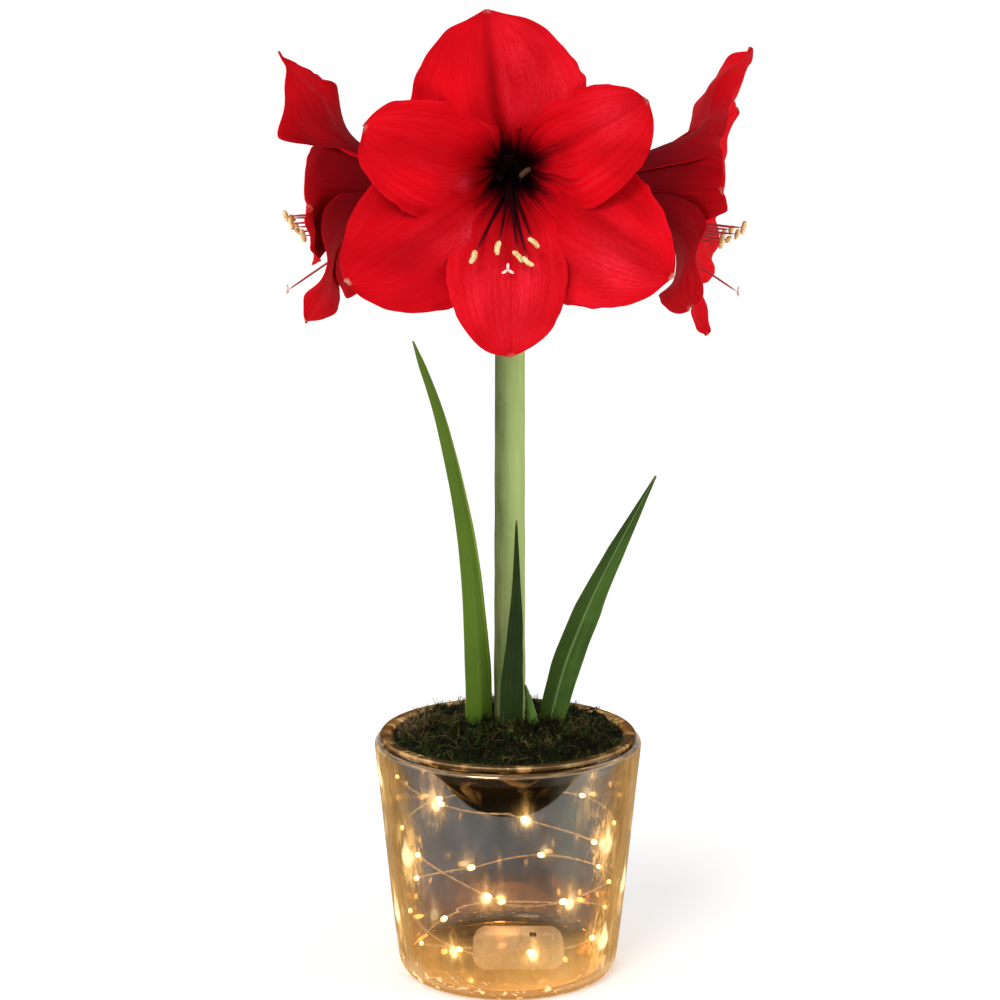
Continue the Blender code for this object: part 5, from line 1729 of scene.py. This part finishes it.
class AMARYLLIS_OT_stage(bpy.types.Operator):
    """Set the floor, the lights and the camera"""
    bl_idname = "amaryllis.stage"
    bl_label = "Stage"

    def execute(self, context):
        look = settings().stage
        self.lay_floor(look)
        self.raise_backdrop()
        self.light_world(look)
        self.add_lights(look)
        self.add_camera(look)
        context.scene.view_settings.view_transform = "Standard"
        return {"FINISHED"}

    def lay_floor(self, look):
        deselect()
        bpy.ops.mesh.primitive_grid_add(x_subdivisions=8, y_subdivisions=8, size=FLOOR_SIZE)
        floor = bpy.context.object
        floor.name = "floor"
        floor.visible_glossy = False
        finish, start = new_finish("pale_floor")
        shade = [0.985 * part for part in look.floor]
        colour = start.place().noise(3.0, 3.0).between(0.3, 0.7).mix(shade, look.floor)
        dress(finish, Base_Color=colour, Roughness=0.9, Specular_IOR_Level=0.1, Emission_Color=WHITE,
              Emission_Strength=0.17)
        floor.data.materials.append(finish)

    def raise_backdrop(self):
        """A white wall far off, which only the eye sees: it neither lights nor shades the plant."""
        deselect()
        bpy.ops.mesh.primitive_cylinder_add(vertices=64, radius=BACKDROP_RADIUS, depth=BACKDROP_HEIGHT,
                                            end_fill_type="NOTHING")
        backdrop = bpy.context.object
        backdrop.name = "backdrop"
        backdrop.visible_diffuse = backdrop.visible_glossy = backdrop.visible_shadow = False
        finish, _ = new_finish("white_backdrop")
        dress(finish, Base_Color=BLACK, Specular_IOR_Level=0.0, Emission_Color=WHITE, Emission_Strength=1.0)
        backdrop.data.materials.append(finish)

    def light_world(self, look):
        """Even daylight above; below the horizon a darker room, for the glass to mirror."""
        world = bpy.data.worlds.new("studio")
        bpy.context.scene.world = world
        world.use_nodes = True
        start = Signal(world.node_tree)
        way = start.node("TexCoord", output="Generated")
        x, y, z = (way.part(axis) for axis in "XYZ")
        sky = start.layers((0.05, 0.040, 0.022), (x.between(0.45, 0.95), (0.95, 1.02, 0.92)),
                           (y.between(-0.45, 0.15), (0.70, 0.46, 0.21)), (z.between(-0.14, -0.02), WHITE))
        background = world.node_tree.nodes["Background"]
        world.node_tree.links.new(sky.socket, background.inputs["Color"])
        background.inputs["Strength"].default_value = look.daylight

    def add_lights(self, look):
        sun = bpy.data.lights.new("key", "SUN")
        sun.energy = look.key
        sun.angle = math.radians(24)
        self.put(sun, (-0.7, -1.5, 1.6), True)
        for name, spot, watts, width in (("left_box", (-1.15, -0.75, 0.55), 3.6, 0.35),
                                         ("right_box", (1.25, -0.55, 0.65), 4.4, 0.4)):
            box = bpy.data.lights.new(name, "AREA")
            box.shape = "RECTANGLE"
            box.size, box.size_y = width, 1.1
            box.energy = watts
            self.put(box, spot, True).visible_glossy = False
        glows = (((0, 0, 24), 0.03), ((-38, -8, 60), 0.02), ((38, 4, 60), 0.02))
        for number, (spot, watts) in enumerate(glows):
            warm = bpy.data.lights.new(f"pot_glow_{number}", "POINT")
            warm.energy = watts
            warm.color = (1.0, 0.55, 0.22)
            warm.shadow_soft_size = 0.008
            self.put(warm, Vector(spot) * MM).visible_glossy = False

    def put(self, made, spot, aimed=False):
        """Place a light or a camera, and point it at the middle of the plant where it is aimed."""
        placed = bpy.data.objects.new(made.name, made)
        bpy.context.scene.collection.objects.link(placed)
        placed.location = spot
        if aimed:
            target = Vector((0, 0, CAD_HIGH.z / 2))
            placed.rotation_euler = (target - placed.location).to_track_quat("-Z", "Y").to_euler()
        return placed

    def add_camera(self, look):
        lens = bpy.data.cameras.new("camera")
        lens.lens = look.focal
        lens.sensor_width = 36.0
        lens.clip_start, lens.clip_end = 0.05, 200.0
        camera = self.put(lens, CAMERA_PLACE)
        camera.rotation_euler = (math.radians(90 - CAMERA_DIP), 0, 0)
        bpy.context.scene.camera = camera


class AMARYLLIS_PT_panel(bpy.types.Panel):
    """The steps that grow the plant"""
    bl_idname = "AMARYLLIS_PT_panel"
    bl_label = "Amaryllis"
    bl_space_type = "VIEW_3D"
    bl_region_type = "UI"
    bl_category = "Amaryllis"

    def draw(self, context):
        for step in STEPS:
            self.layout.operator(step.bl_idname)
        for name in PlantSettings.__annotations__:
            group = getattr(context.scene.amaryllis, name)
            box = self.layout.box()
            box.label(text=name.capitalize())
            for label in group.__annotations__:
                box.prop(group, label)


STEPS = (AMARYLLIS_OT_pot, AMARYLLIS_OT_lights, AMARYLLIS_OT_moss, AMARYLLIS_OT_leaves, AMARYLLIS_OT_stem,
         AMARYLLIS_OT_blooms, AMARYLLIS_OT_stage)
CLASSES = (BloomSettings, GreenSettings, MossSettings, PotSettings, LightSettings, StageSettings,
           PlantSettings, *STEPS, AMARYLLIS_PT_panel)


def register():
    for each in CLASSES:
        bpy.utils.register_class(each)
    bpy.types.Scene.amaryllis = bpy.props.PointerProperty(type=PlantSettings)


def unregister():
    del bpy.types.Scene.amaryllis
    for each in reversed(CLASSES):
        bpy.utils.unregister_class(each)


def main():
    register()
    bpy.ops.amaryllis.pot()
    bpy.ops.amaryllis.lights()
    bpy.ops.amaryllis.moss()
    bpy.ops.amaryllis.leaves()
    bpy.ops.amaryllis.stem()
    bpy.ops.amaryllis.blooms()
    bpy.ops.amaryllis.stage()


if __name__ == "__main__":
    main()
